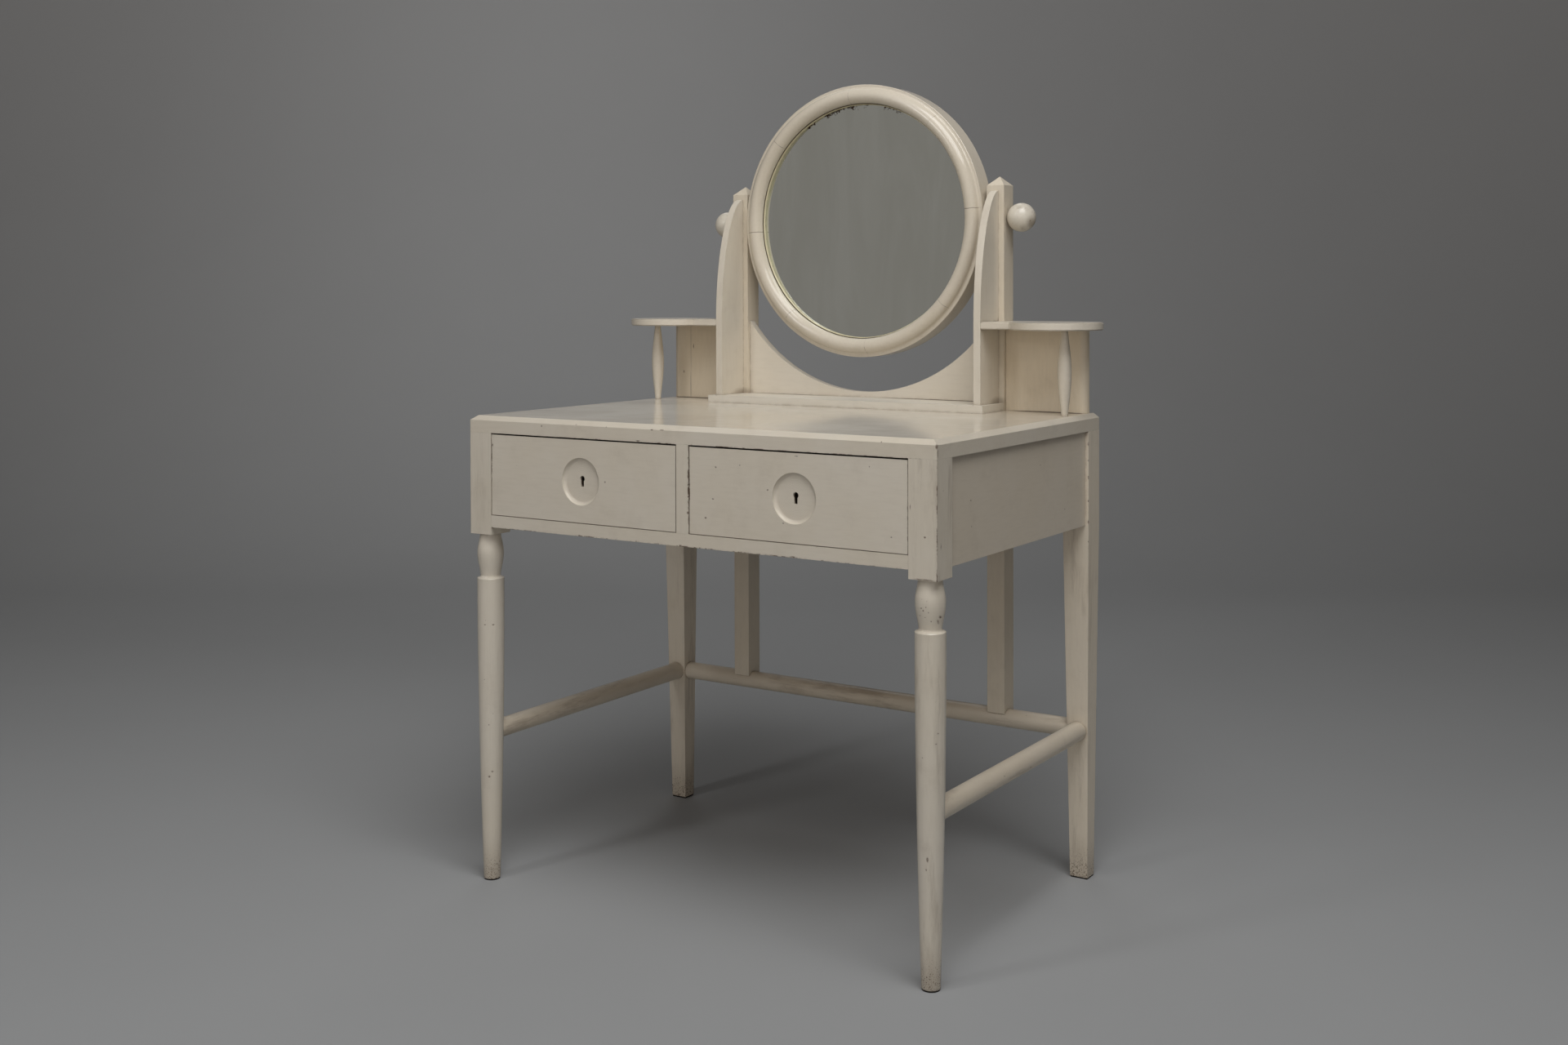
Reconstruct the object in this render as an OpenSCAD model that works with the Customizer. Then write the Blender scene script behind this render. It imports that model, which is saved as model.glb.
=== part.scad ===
// Painted dressing table with two drawers, a swinging round mirror and two side shelves.
// X runs to the right, Y to the rear and Z up, with the origin on the floor under the middle.

/* [Table] */
// Width of the table over the legs
table_w = 833; // [780:1:900]
// Depth of the table over the legs
table_d = 553; // [500:1:620]
// Height of the table top above the floor
table_h = 740; // [700:1:780]
// Thickness of the top board
top_t = 26.5; // [22:0.5:32]
// Width of the bevel round the front and sides of the top
bevel_w = 9.5; // [4:0.5:12]
// Height of that bevel
bevel_h = 7; // [3:0.5:10]

/* [Case] */
// Height of the drawer openings
opening_h = 129.5; // [115:0.5:145]
// Thickness of the rail under the drawers, and of the runners
rail_t = 19; // [15:0.5:24]
// Depth of the front rail from front to back
rail_d = 52; // [46:1:70]
// Width of the divider between the drawers
divider_w = 22; // [16:1:30]
// Depth of the divider from front to back
divider_d = 72; // [50:1:100]
// Thickness of the side panels
panel_t = 18; // [14:0.5:20]
// Distance of the side panels behind the outer faces of the legs
panel_recess = 5.5; // [2:0.5:8]
// Thickness of the back of the case
back_t = 15; // [12:0.5:18]
// Width of the runners under the drawers
runner_w = 44; // [36:1:56]
// Height of the guide strips beside the drawers
guide_h = 26; // [16:1:40]
// Length of the hidden tenons of the case
tenon_l = 14; // [8:1:18]
// Thickness of the hidden tenons of the case
tenon_t = 8; // [6:0.5:9]

/* [Legs] */
// Width and depth of the legs at the case
leg_w = 43.5; // [40:0.5:48]
// Length of the square block of a front leg
block_h = 161; // [155:1:175]
// Length of the vase turning under the block
vase_l = 71; // [56:1:90]
// Radius of the vase turning where it is widest
vase_r = 21; // [18.5:0.5:21]
// Radius of the neck of the vase under the block
neck_r = 16.6; // [14:0.2:18]
// Radius of the waist of the vase above the collar
waist_r = 15.9; // [13:0.1:17]
// Radius of a front leg at its collar
collar_r = 21.4; // [19:0.1:21.6]
// Radius of a front leg at its foot
toe_r = 13.2; // [12:0.1:17]
// Inward taper of a rear leg at its foot, on its outer and inner faces
rear_taper_x = 7; // [2:0.5:9]
// Taper of a rear leg at its foot, on its front face
rear_taper_front = 12; // [4:0.5:14]
// Taper of a rear leg at its foot, on its back face
rear_taper_back = 5.5; // [0:0.5:8]
// Thickness of the pads under the feet
glide_h = 2.5; // [2:0.5:6]
// Distance of those pads inside the edges of the feet
glide_edge = 0.8; // [0.4:0.1:2]

/* [Stretchers] */
// Height of the middle of the stretchers above the floor
stretcher_z = 236; // [180:1:300]
// Diameter of the stretchers
stretcher_d = 30; // [24:0.5:32]
// Diameter of the round tenons of the stretchers
stub_d = 14; // [10:0.5:16]
// Length of the round tenons of the stretchers
stub_l = 10; // [8:0.5:11]

/* [Drawers] */
// Thickness of the drawer fronts
front_t = 19; // [17:0.5:23]
// Distance of the drawer fronts behind the face of the case
front_inset = 0.8; // [0:0.1:3]
// Gap at each side of a drawer
side_gap = 1.1; // [0.5:0.1:2]
// Gap above a drawer front
top_gap = 2.2; // [1:0.1:4]
// Running gap under a drawer
under_gap = 0.3; // [0.2:0.05:0.6]
// Thickness of the drawer sides and backs
box_t = 11; // [9:0.5:13]
// Distance from the drawers to the back of the case
drawer_rear_gap = 19; // [8:1:60]
// Thickness of the drawer bottoms
floor_t = 6; // [4:0.5:8]
// Height of the drawer bottoms above the lower edge of a drawer
floor_z = 10; // [8:0.5:16]
// Depth of the grooves that hold the drawer bottoms
groove = 5; // [3:0.5:6]
// How far the drawer sides stay below the top edge of the front
side_drop = 6; // [2:0.5:12]
// Number of dovetails at each front corner of a drawer
tail_count = 3; // [2:1:4]
// Length of the dovetails
tail_l = 13; // [9:0.5:14]
// Clearance of glued wood joints
joint_gap = 0.1; // [0.05:0.01:0.2]
// Size of the stop blocks behind the drawer fronts
stop_w = 24; // [14:1:34]

/* [Locks] */
// Radius of the dished recess in a drawer front
dish_r = 36; // [28:0.5:42]
// Depth of that recess
dish_depth = 5; // [3:0.5:6]
// Radius of the hollow wall of that recess
dish_cove = 6; // [6:0.5:8]
// Radius of the round head of the keyhole
key_r = 4.4; // [3:0.1:5.5]
// Width of the slot of the keyhole
key_slot_w = 5.4; // [4:0.1:6]
// Height of the keyhole
key_h = 16.5; // [12:0.5:20]
// Width of a lock
lock_w = 46; // [36:1:60]
// Thickness of a lock
lock_t = 8.5; // [7.5:0.5:9]
// How far a lock reaches below its keyhole
lock_below = 18; // [14:1:24]
// Width of a lock bolt
bolt_w = 18; // [12:0.5:24]
// Thickness of a lock bolt
bolt_t = 4; // [3:0.5:4.5]
// Length of a lock bolt
bolt_l = 32; // [24:1:36]
// Throw of a lock bolt
bolt_throw = 8; // [5:0.5:10]
// Clearance round a lock bolt
bolt_gap = 0.3; // [0.2:0.05:0.5]

/* [Mirror stand] */
// Width of a mirror post
post_w = 30.7; // [26:0.1:36]
// Depth of a mirror post
post_d = 34.5; // [30:0.5:40]
// Height of the square shaft of a post above the mirror pivot
post_above = 52.7; // [36:0.1:80]
// Height of the pyramid on a post
cap_h = 15; // [8:0.5:24]
// Thickness of the plinth on the table top
plinth_t = 12.5; // [10:0.5:18]
// Depth of the plinth from front to back
plinth_d = 114; // [106:1:130]
// Thickness of the curved brackets in front of the posts
fin_t = 12.3; // [9:0.1:18]
// How far the brackets reach in front of the posts
fin_reach = 68; // [50:0.5:70]
// Height of the curved part of the brackets
fin_curve_h = 218; // [150:1:240]
// Distance from the top of a bracket to the foot of the pyramid
fin_drop = 8.7; // [4:0.1:20]
// Thickness of the arched board between the posts
arch_t = 14; // [10:0.5:18]
// Distance of the arched board behind the front faces of the posts
arch_back = 7; // [4:0.5:12]
// Gap between the mirror and the curve of the arched board
arch_gap = 60; // [40:1:70]

/* [Mirror] */
// Diameter of the mirror frame
ring_d = 464; // [420:1:480]
// Gap between the mirror and the table top
mirror_gap = 82; // [76:1:110]
// Depth of the frame from its front step to its back edge
ring_depth = 38; // [34:0.5:44]
// Distance of the front step in front of the pivot
step_y = 25.5; // [22:0.5:28]
// Width of the flat step outside the bead
step_w = 3.3; // [2:0.1:6]
// Radius of the half-round bead
bead_r = 12.5; // [9:0.5:13]
// Radius of the cove between bead and step
cove_r = 4; // [2:0.5:6]
// Width of the rebate behind the bead
rebate = 4; // [3:0.5:5]
// Depth of the slip that holds the glass
slip_depth = 14; // [9:0.1:15]
// Bevel of the slip towards the glass
slip_bevel = 3; // [1:0.1:4]
// Thickness of the glass
glass_t = 4; // [3:0.5:6]
// Thickness of the board behind the glass
backboard_t = 6; // [4:0.5:8]
// Number of pins that hold that board
pin_count = 8; // [4:1:16]
// Radius of those pins
pin_r = 0.9; // [0.6:0.1:1.2]
// Length of those pins
pin_l = 16; // [10:1:20]

/* [Pivot] */
// Diameter of the pivot rods
rod_d = 8; // [6:0.5:10]
// Depth of a pivot rod in the mirror frame
rod_in = 17; // [12:1:20]
// Radial clearance round the pivot rods
rod_gap = 0.05; // [0.02:0.01:0.09]
// Thickness of the washers beside the mirror frame
washer_t = 3.3; // [2:0.1:5]
// Radius of the washers beside the mirror frame
washer_r = 11; // [8:0.5:14]
// Gap between pieces that turn on each other
face_gap = 0.3; // [0.2:0.05:0.5]
// Radius of the ball knobs
ball_r = 23.5; // [18:0.1:26]
// How far the flat of a ball knob cuts into the ball
ball_flat = 0.8; // [0.4:0.1:3]
// Depth of the bore in a ball knob
ball_bore = 27; // [18:1:34]

/* [Side shelves] */
// Height of the underside of the side shelves above the table top
shelf_h = 133.5; // [110:0.5:140]
// Thickness of the side shelves
shelf_t = 12; // [9:0.5:16]
// Radius of the round end of a side shelf
disc_r = 73.3; // [68:0.1:78]
// Distance from the middle of the round end to the end of the table
disc_in = 41.3; // [32:0.1:46]
// Distance of the round end in front of the rear edge of the table
disc_rear = 1; // [0.5:0.5:8]
// Radius of the rounded edges of a side shelf
shelf_round = 1.5; // [0.5:0.1:3]
// Distance from the board under a side shelf to the end of the table
niche_in = 10.5; // [9:0.5:24]
// Thickness of the board under a side shelf
niche_t = 14; // [11:0.5:18]
// Distance of that board behind the front of a post
niche_back = 6; // [5:0.5:12]
// Radius of the rounded outer corner of that board
niche_round = 12.5; // [6:0.5:13]
// Distance from a spindle to the end of the table
spindle_in = 20.6; // [17.5:0.1:30]
// Distance of a spindle in front of the middle of the round end
spindle_front = 14.8; // [8:0.1:30]
// Radius of a spindle in the middle
spindle_r = 10.8; // [8:0.1:14]
// Radius of a spindle at its ends
spindle_end_r = 5.1; // [4.6:0.1:6]
// Diameter of the pegs at the ends of a spindle
peg_d = 7; // [5:0.5:8]
// Length of those pegs
peg_l = 8; // [6:0.5:9]

/* [Screws] */
// Diameter of the screws that hold the posts
screw_d = 4.5; // [3:0.5:6]
// Radius of their heads
screw_head_r = 4.6; // [4:0.1:6]
// Height of their countersunk heads
screw_head_h = 3; // [2:0.5:4]
// How far they reach into the back of the case
screw_in = 11; // [6:1:11]

/* [Hidden] */
$fn = 64;
// How far a cutter runs past the face it cuts
past = 1;
half_w = table_w / 2;
ball_over = max(0, ball_r - post_d / 2);
front_y = -(table_d + ball_over) / 2;
rear_y = front_y + table_d;
under_z = table_h - top_t;
rail_z1 = under_z - opening_h;
rail_z0 = rail_z1 - rail_t;
block_z = under_z - block_h;
collar_z = block_z - vase_l;
leg_in = half_w - leg_w;
leg_axis_x = half_w - leg_w / 2;
front_leg_y = front_y + leg_w / 2;
panel_out = half_w - panel_recess;
panel_in = panel_out - panel_t;
post_front = rear_y - post_d;
case_back = post_front - back_t;
pivot_y = rear_y - post_d / 2;
ring_r = ring_d / 2;
pivot_z = table_h + mirror_gap + ring_r;
post_in = ring_r + washer_t + 2 * face_gap;
post_x = post_in + post_w / 2;
post_out = post_in + post_w;
cap_z = pivot_z + post_above;
plinth_z = table_h + plinth_t;
fin_front = post_front - fin_reach;
fin_out = post_x + fin_t / 2;
fin_top = cap_z - fin_drop;
fin_bend = fin_top - fin_curve_h;
shelf_z = table_h + shelf_h;
disc_x = half_w - disc_in;
disc_y = rear_y - disc_rear - disc_r;
spindle_x = half_w - spindle_in;
spindle_y = disc_y - spindle_front;
// How far the middle of the bead lies behind the front step
bead_sink = 1;
bead_x = ring_r - step_w - sqrt(pow(bead_r + cove_r, 2) - pow(cove_r + bead_sink, 2));
lip_r = bead_x - bead_r;
rebate_r = lip_r + rebate;
slip_front = step_y - bead_r / 3;
glass_front = slip_front - slip_depth;
board_front = glass_front - glass_t;
board_back = board_front - backboard_t;
drawer_z0 = rail_z1 + under_gap;
drawer_z1 = under_z - top_gap;
drawer_y0 = front_y + front_inset;
front_back_y = drawer_y0 + front_t;
drawer_y1 = case_back - drawer_rear_gap;
opening_x0 = divider_w / 2;
drawer_x = (opening_x0 + leg_in) / 2;
half_drawer = (leg_in - opening_x0) / 2 - side_gap;
floor_z0 = drawer_z0 + floor_z;
side_z1 = drawer_z1 - side_drop;
dish_z = (drawer_z0 + drawer_z1) / 2;
key_z = dish_z + key_h / 2 - key_r;
rear_leg_y = rear_y - (leg_w + (rear_taper_back - rear_taper_front) * taper_at(stretcher_z)) / 2;
cream = [0.86, 0.81, 0.72];
bare_wood = [0.74, 0.60, 0.42];
steel = [0.62, 0.61, 0.58];
dark = [0.16, 0.14, 0.12];

// How far a leg has tapered at height z, from 0 at the case to 1 at the foot
function taper_at(z) = (rail_z0 - z) / (rail_z0 - glide_h);

// A box between two corners
module slab(a, b) {
  translate(a) cube([for (i = [0:2]) b[i] - a[i]]);
}

// Puts its children at the right, or mirrored at the left
module on_side(side) {
  if (side < 0) mirror([1, 0, 0]) children();
  else children();
}

// Turns a profile drawn in X and Y about an axis along Y, with the profile's Y to the front
module turn_front() {
  rotate([90, 0, 0]) rotate_extrude($fn = 120) children();
}

// A rod along X
module rod_x(x0, x1, r) {
  translate([x0, 0, 0]) rotate([0, 90, 0]) cylinder(r = r, h = x1 - x0);
}

// Both mirrored copies of the children
module both_sides() {
  children();
  mirror([1, 0, 0]) children();
}

// Outline of the turned part of a front leg: vase, waist, collar and swelling taper
turning_root = 4;
vase_steps = 8;
waist_steps = 7;
leg_steps = 12;
vase_belly = 0.44;
neck_power = 1.8;
waist_power = 1.4;
taper_power = 1.85;
cove_h = 4;
cove_in = 0.8;
collar_round = 0.8;
collar_lip = 0.3;
function vase_up(u) = neck_r + (vase_r - neck_r) * pow(sin(90 * u), neck_power);
function vase_down(v) = waist_r + (vase_r - waist_r) * pow(cos(90 * v), waist_power);
function leg_r_at(t) = collar_r - (collar_r - toe_r) * pow(t, taper_power);
function turned_leg() = concat(
  [[0, block_z + turning_root], [neck_r, block_z + turning_root]],
  [for (i = [0:vase_steps]) [vase_up(i / vase_steps), block_z - i / vase_steps * vase_belly * vase_l]],
  [for (i = [1:waist_steps]) [vase_down(i / waist_steps),
      block_z - vase_belly * vase_l - i / waist_steps * ((1 - vase_belly) * vase_l - cove_h)]],
  [[waist_r + cove_in, collar_z + cove_h / 2],
   [collar_r - collar_round, collar_z + collar_lip],
   [collar_r, collar_z - collar_round]],
  [for (i = [1:leg_steps]) [leg_r_at(i / leg_steps),
      collar_z - collar_round - i / leg_steps * (collar_z - collar_round - glide_h)]],
  [[0, glide_h]]);

// The turned part of the front leg on the right
module turned_part() {
  translate([leg_axis_x, front_leg_y, 0]) rotate_extrude() polygon(turned_leg());
}

// The plain outer form of a rear leg on the right, before its mortises are cut
module rear_leg_form() {
  intersection() {
    translate([0, rear_y + past, 0]) rotate([90, 0, 0]) linear_extrude(height = leg_w + 2 * past)
      polygon([[leg_in, under_z], [half_w, under_z], [half_w, rail_z0],
               [half_w - rear_taper_x, glide_h], [leg_in + rear_taper_x, glide_h], [leg_in, rail_z0]]);
    translate([leg_in - past, 0, 0]) rotate([90, 0, 90]) linear_extrude(height = leg_w + 2 * past)
      polygon([[rear_y - leg_w, under_z], [rear_y, under_z], [rear_y, rail_z0],
               [rear_y - rear_taper_back, glide_h],
               [rear_y - leg_w + rear_taper_front, glide_h], [rear_y - leg_w, rail_z0]]);
  }
}

// Tenons at both ends of a side panel, grown by a gap for their mortises
tenon_margin = 20;
module panel_tenons(gap) {
  x0 = (panel_out + panel_in - tenon_t) / 2;
  slab([x0 - gap, front_y + leg_w - tenon_l - gap, rail_z0 + tenon_margin - gap],
       [x0 + tenon_t + gap, front_y + leg_w + past, under_z - tenon_margin + gap]);
  slab([x0 - gap, rear_y - leg_w - past, rail_z0 + tenon_margin - gap],
       [x0 + tenon_t + gap, rear_y - leg_w + tenon_l + gap, under_z - tenon_margin + gap]);
}

// Tenon at the right end of the front rail, grown by a gap for its mortise
module rail_tenon(gap) {
  y0 = front_y + (leg_w - 2 * tenon_t) / 2;
  z0 = rail_z0 + (rail_t - tenon_t) / 2;
  slab([leg_in - past, y0 - gap, z0 - gap],
       [leg_in + tenon_l + gap, y0 + 2 * tenon_t + gap, z0 + tenon_t + gap]);
}

// Round tenons of the stretchers on the right, grown by a gap for their bores
stub_root = 8;
module side_stubs(gap) {
  r = stub_d / 2 + gap;
  toe_in = leg_r_at((collar_z - stretcher_z) / (collar_z - glide_h));
  translate([leg_axis_x, 0, stretcher_z]) rotate([-90, 0, 0]) {
    translate([0, 0, front_leg_y + toe_in - stub_l - gap]) cylinder(r = r, h = stub_l + stub_root);
    translate([0, 0, rear_leg_front(stretcher_z) - stub_root])
      cylinder(r = r, h = stub_l + stub_root + gap);
  }
}
module rear_stub(gap) {
  x0 = rear_leg_inner(stretcher_z);
  translate([0, rear_leg_y, stretcher_z])
    rod_x(x0 - stub_root, x0 + stub_l + gap, stub_d / 2 + gap);
}
function rear_leg_front(z) = rear_y - leg_w + rear_taper_front * taper_at(z);
function rear_leg_inner(z) = leg_in + rear_taper_x * taper_at(z);

// The table top, bevelled at the front and sides, notched for the posts and cut for lock bolts
notch_gap = 0.2;
module top_board() {
  color(cream) difference() {
    intersection() {
      rotate([90, 0, 0]) translate([0, 0, -rear_y]) linear_extrude(height = table_d)
        polygon([[-half_w, under_z], [half_w, under_z], [half_w, table_h - bevel_h],
                 [half_w - bevel_w, table_h], [-half_w + bevel_w, table_h], [-half_w, table_h - bevel_h]]);
      rotate([90, 0, 90]) translate([0, 0, -half_w]) linear_extrude(height = table_w)
        polygon([[front_y, under_z], [rear_y, under_z], [rear_y, table_h],
                 [front_y + bevel_w, table_h], [front_y, table_h - bevel_h]]);
    }
    both_sides() {
      post_notch();
      spindle_pegs(joint_gap);
      bolt_mortise();
    }
  }
}

// Room for a post at the rear edge of the right half
module post_notch() {
  slab([post_in - notch_gap, post_front - notch_gap, under_z - past],
       [post_out + notch_gap, rear_y + past, plinth_z + past]);
}

// Mortise in the table top above the lock bolt of the right drawer
mortise_gap = 1;
module bolt_mortise() {
  slab([drawer_x - bolt_w / 2 - mortise_gap, bolt_y - bolt_t / 2 - mortise_gap, under_z - past],
       [drawer_x + bolt_w / 2 + mortise_gap, bolt_y + bolt_t / 2 + mortise_gap,
        drawer_z1 + bolt_throw + mortise_gap]);
}

// A front leg: square block, vase turning, collar and tapered foot
module front_leg(side) {
  color(cream) on_side(side) difference() {
    union() {
      slab([leg_in, front_y, block_z], [half_w, front_y + leg_w, under_z]);
      turned_part();
    }
    panel_tenons(joint_gap);
    rail_tenon(joint_gap);
    side_stubs(joint_gap);
  }
}

// A rear leg: square, and tapered on all faces below the case
module rear_leg(side) {
  color(cream) on_side(side) difference() {
    rear_leg_form();
    panel_tenons(joint_gap);
    side_stubs(joint_gap);
    rear_stub(joint_gap);
  }
}

// A pad under each foot, round in front and square behind
module foot_glides() {
  color(dark) both_sides() {
    translate([leg_axis_x, front_leg_y, 0]) cylinder(r = toe_r - glide_edge, h = glide_h);
    slab([leg_in + rear_taper_x + glide_edge, rear_y - leg_w + rear_taper_front + glide_edge, 0],
         [half_w - rear_taper_x - glide_edge, rear_y - rear_taper_back - glide_edge, glide_h]);
  }
}

// A side of the case between the legs
module side_panel(side) {
  color(cream) on_side(side) union() {
    slab([panel_in, front_y + leg_w, rail_z0], [panel_out, rear_y - leg_w, under_z]);
    panel_tenons(0);
  }
}

// The back of the case, in front of the posts
module case_back() {
  color(cream) difference() {
    slab([-leg_in, case_back, rail_z0], [leg_in, post_front, under_z]);
    screw_places() screw_hole();
  }
}

// The rail under the drawers
module front_rail() {
  color(cream) union() {
    slab([-leg_in, front_y, rail_z0], [leg_in, front_y + rail_d, rail_z1]);
    both_sides() rail_tenon(0);
  }
}

// The upright between the drawers
module drawer_divider() {
  color(cream)
    slab([-divider_w / 2, front_y, rail_z1], [divider_w / 2, front_y + divider_d, under_z]);
}

// A runner at one side of the case
module side_runner(side) {
  color(bare_wood) on_side(side)
    slab([panel_in - runner_w, front_y + rail_d, rail_z0], [panel_in, case_back, rail_z1]);
}

// The runner between the drawers
module middle_runner() {
  color(bare_wood)
    slab([-runner_w, front_y + rail_d, rail_z0], [runner_w, case_back, rail_z1]);
}

// A guide strip on a side runner, flush with the inner faces of the legs
module side_guide(side) {
  color(bare_wood) on_side(side)
    slab([leg_in, front_y + rail_d, rail_z1], [panel_in, case_back, rail_z1 + guide_h]);
}

// The guide strip on the middle runner, behind the divider
module middle_guide() {
  color(bare_wood)
    slab([-divider_w / 2, front_y + divider_d, rail_z1], [divider_w / 2, case_back, rail_z1 + guide_h]);
}

// Four blocks on the front rail that stop the drawer fronts
stop_d = 10;
stop_gap = 0.3;
stop_ratio = 0.6;
stop_under = 2;
module drawer_stops() {
  stop_y = front_back_y + stop_gap;
  color(bare_wood) both_sides() for (s = [-1, 1])
    translate([drawer_x + s * half_drawer * stop_ratio - stop_w / 2, stop_y, rail_z1])
      cube([stop_w, stop_d, floor_z + under_gap - stop_under]);
}

// A round stretcher between a front leg and a rear leg
module side_stretcher(side) {
  color(cream) on_side(side) union() {
    difference() {
      translate([leg_axis_x, front_leg_y, stretcher_z]) rotate([-90, 0, 0])
        cylinder(r = stretcher_d / 2, h = rear_leg_front(stretcher_z) - front_leg_y + past);
      turned_part();
      rear_leg_form();
    }
    side_stubs(0);
  }
}

// The round stretcher between the rear legs
module rear_stretcher() {
  x1 = rear_leg_inner(stretcher_z) + past;
  color(cream) union() {
    difference() {
      translate([0, rear_leg_y, stretcher_z]) rod_x(-x1, x1, stretcher_d / 2);
      both_sides() rear_leg_form();
    }
    both_sides() rear_stub(0);
  }
}

// The board on the table top that carries the mirror stand
module plinth() {
  color(cream) difference() {
    slab([-post_out, rear_y - plinth_d, table_h], [post_out, rear_y, plinth_z]);
    both_sides() post_notch();
  }
}

// A mirror post, which runs from the rear stretcher up to its pyramid
saddle_h = 9;
module post(side) {
  color(cream) on_side(side) difference() {
    intersection() {
      translate([0, rear_y, 0]) rotate([90, 0, 0]) linear_extrude(height = post_d)
        polygon([[post_in, stretcher_z + saddle_h], [post_out, stretcher_z + saddle_h], [post_out, cap_z],
                 [post_x, cap_z + cap_h], [post_in, cap_z]]);
      translate([post_in, 0, 0]) rotate([90, 0, 90]) linear_extrude(height = post_w)
        polygon([[post_front, stretcher_z + saddle_h], [rear_y, stretcher_z + saddle_h], [rear_y, cap_z],
                 [pivot_y, cap_z + cap_h], [post_front, cap_z]]);
    }
    translate([0, rear_leg_y, stretcher_z])
      rod_x(post_in - past, post_out + past, stretcher_d / 2 + joint_gap);
    translate([0, pivot_y, pivot_z]) rod_x(post_in - past, post_out + past, rod_d / 2 + rod_gap);
    screw_places() screw_hole();
  }
}

// Where the screws go through the posts into the back of the case
screw_edge = 32;
module screw_places() {
  both_sides() for (z = [rail_z0 + screw_edge, under_z - screw_edge])
    translate([post_x, rear_y, z]) rotate([90, 0, 0]) children();
}

// Hole of one screw, along +Z from the rear face
module screw_hole() {
  hole_gap = 0.1;
  translate([0, 0, -past]) cylinder(r = screw_d / 2 + hole_gap, h = post_d + screw_in + hole_gap + past);
  translate([0, 0, -past]) cylinder(r = screw_head_r + hole_gap, h = screw_head_h + hole_gap + past);
}

// One screw with a slotted head
slot_w = 1.2;
slot_deep = 1;
module post_screws() {
  color(steel) screw_places() difference() {
    union() {
      cylinder(r = screw_d / 2, h = post_d + screw_in);
      cylinder(r = screw_head_r, h = screw_head_h);
    }
    translate([-screw_head_r - past, -slot_w / 2, -past])
      cube([2 * (screw_head_r + past), slot_w, slot_deep + past]);
  }
}

// A curved bracket in front of a post: upright below, and an ellipse back to the post above
fin_steps = 20;
fin_power = 1.1;
module bracket(side) {
  color(cream) on_side(side)
    translate([post_x - fin_t / 2, 0, 0]) rotate([90, 0, 90]) linear_extrude(height = fin_t)
      polygon(concat(
        [[post_front, plinth_z], [fin_front, plinth_z]],
        [for (i = [0:fin_steps]) let (a = 90 * i / fin_steps)
          [post_front - fin_reach * pow(cos(a), fin_power), fin_bend + fin_curve_h * sin(a)]]));
}

// The board between the posts, hollowed round the mirror
module arched_board() {
  y0 = post_front + arch_back;
  arch_r = ring_r + arch_gap;
  color(cream) difference() {
    slab([-post_in + notch_gap, y0, plinth_z],
         [post_in - notch_gap, y0 + arch_t, pivot_z - sqrt(arch_r * arch_r - post_in * post_in)]);
    translate([0, y0 - past, pivot_z]) rotate([-90, 0, 0])
      cylinder(r = arch_r, h = arch_t + 2 * past, $fn = 160);
  }
}

// The board under a side shelf, rounded at its outer front corner
module niche_board(side) {
  x1 = half_w - niche_in;
  y0 = post_front + niche_back;
  round_x = x1 - niche_round;
  round_y = y0 + niche_round;
  color(cream) on_side(side)
    translate([0, 0, table_h]) linear_extrude(height = shelf_h)
      polygon(concat(
        [[post_out + notch_gap, y0 + niche_t], [post_out + notch_gap, y0]],
        [for (a = [0:10:90]) [round_x + niche_round * sin(a), round_y - niche_round * cos(a)]],
        [[x1, y0 + niche_t]]));
}

// Plan of a side shelf on the right, shrunk by an edge width: a straight neck and a round end
shelf_gap = 0.2;
module shelf_plan(edge) {
  neck_rear = rear_y - disc_rear;
  difference() {
    union() {
      translate([disc_x, disc_y]) circle(r = disc_r - edge, $fn = 96);
      translate([fin_out + shelf_gap, fin_front + edge])
        square([disc_x - fin_out - shelf_gap, neck_rear - fin_front - 2 * edge]);
    }
    translate([post_in, post_front - shelf_gap]) square([post_w + shelf_gap, post_d + shelf_gap]);
  }
}

// A side shelf with softened edges
module side_shelf(side) {
  color(cream) on_side(side) difference() {
    union() {
      translate([0, 0, shelf_z]) linear_extrude(height = shelf_t) shelf_plan(shelf_round);
      translate([0, 0, shelf_z + shelf_round])
        linear_extrude(height = shelf_t - 2 * shelf_round) shelf_plan(0);
    }
    spindle_pegs(joint_gap);
  }
}

// Outline of a spindle, thick in the middle and slender at its ends
spindle_steps = 16;
spindle_power = 1.25;
function spindle_at(u) =
  spindle_end_r + (spindle_r - spindle_end_r) * pow(cos(90 * abs(u)), spindle_power);
function spindle_outline() = concat(
  [[0, table_h]],
  [for (i = [0:spindle_steps]) let (u = 2 * i / spindle_steps - 1)
    [spindle_at(u), table_h + shelf_h * i / spindle_steps]],
  [[0, shelf_z]]);

// The pegs of the right spindle with their roots in it, grown by a gap for their holes
peg_root = 1;
module spindle_pegs(gap) {
  translate([spindle_x, spindle_y, 0]) {
    translate([0, 0, table_h - peg_l - gap]) cylinder(r = peg_d / 2 + gap, h = peg_l + gap + peg_root);
    translate([0, 0, shelf_z - peg_root]) cylinder(r = peg_d / 2 + gap, h = peg_l + gap + peg_root);
  }
}

// A turned spindle between the table top and a side shelf
module spindle(side) {
  color(cream) on_side(side) union() {
    translate([spindle_x, spindle_y, 0]) rotate_extrude() polygon(spindle_outline());
    spindle_pegs(0);
  }
}

// Moves children drawn about the mirror's middle into place
module at_pivot() {
  translate([0, pivot_y, pivot_z]) children();
}

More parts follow.
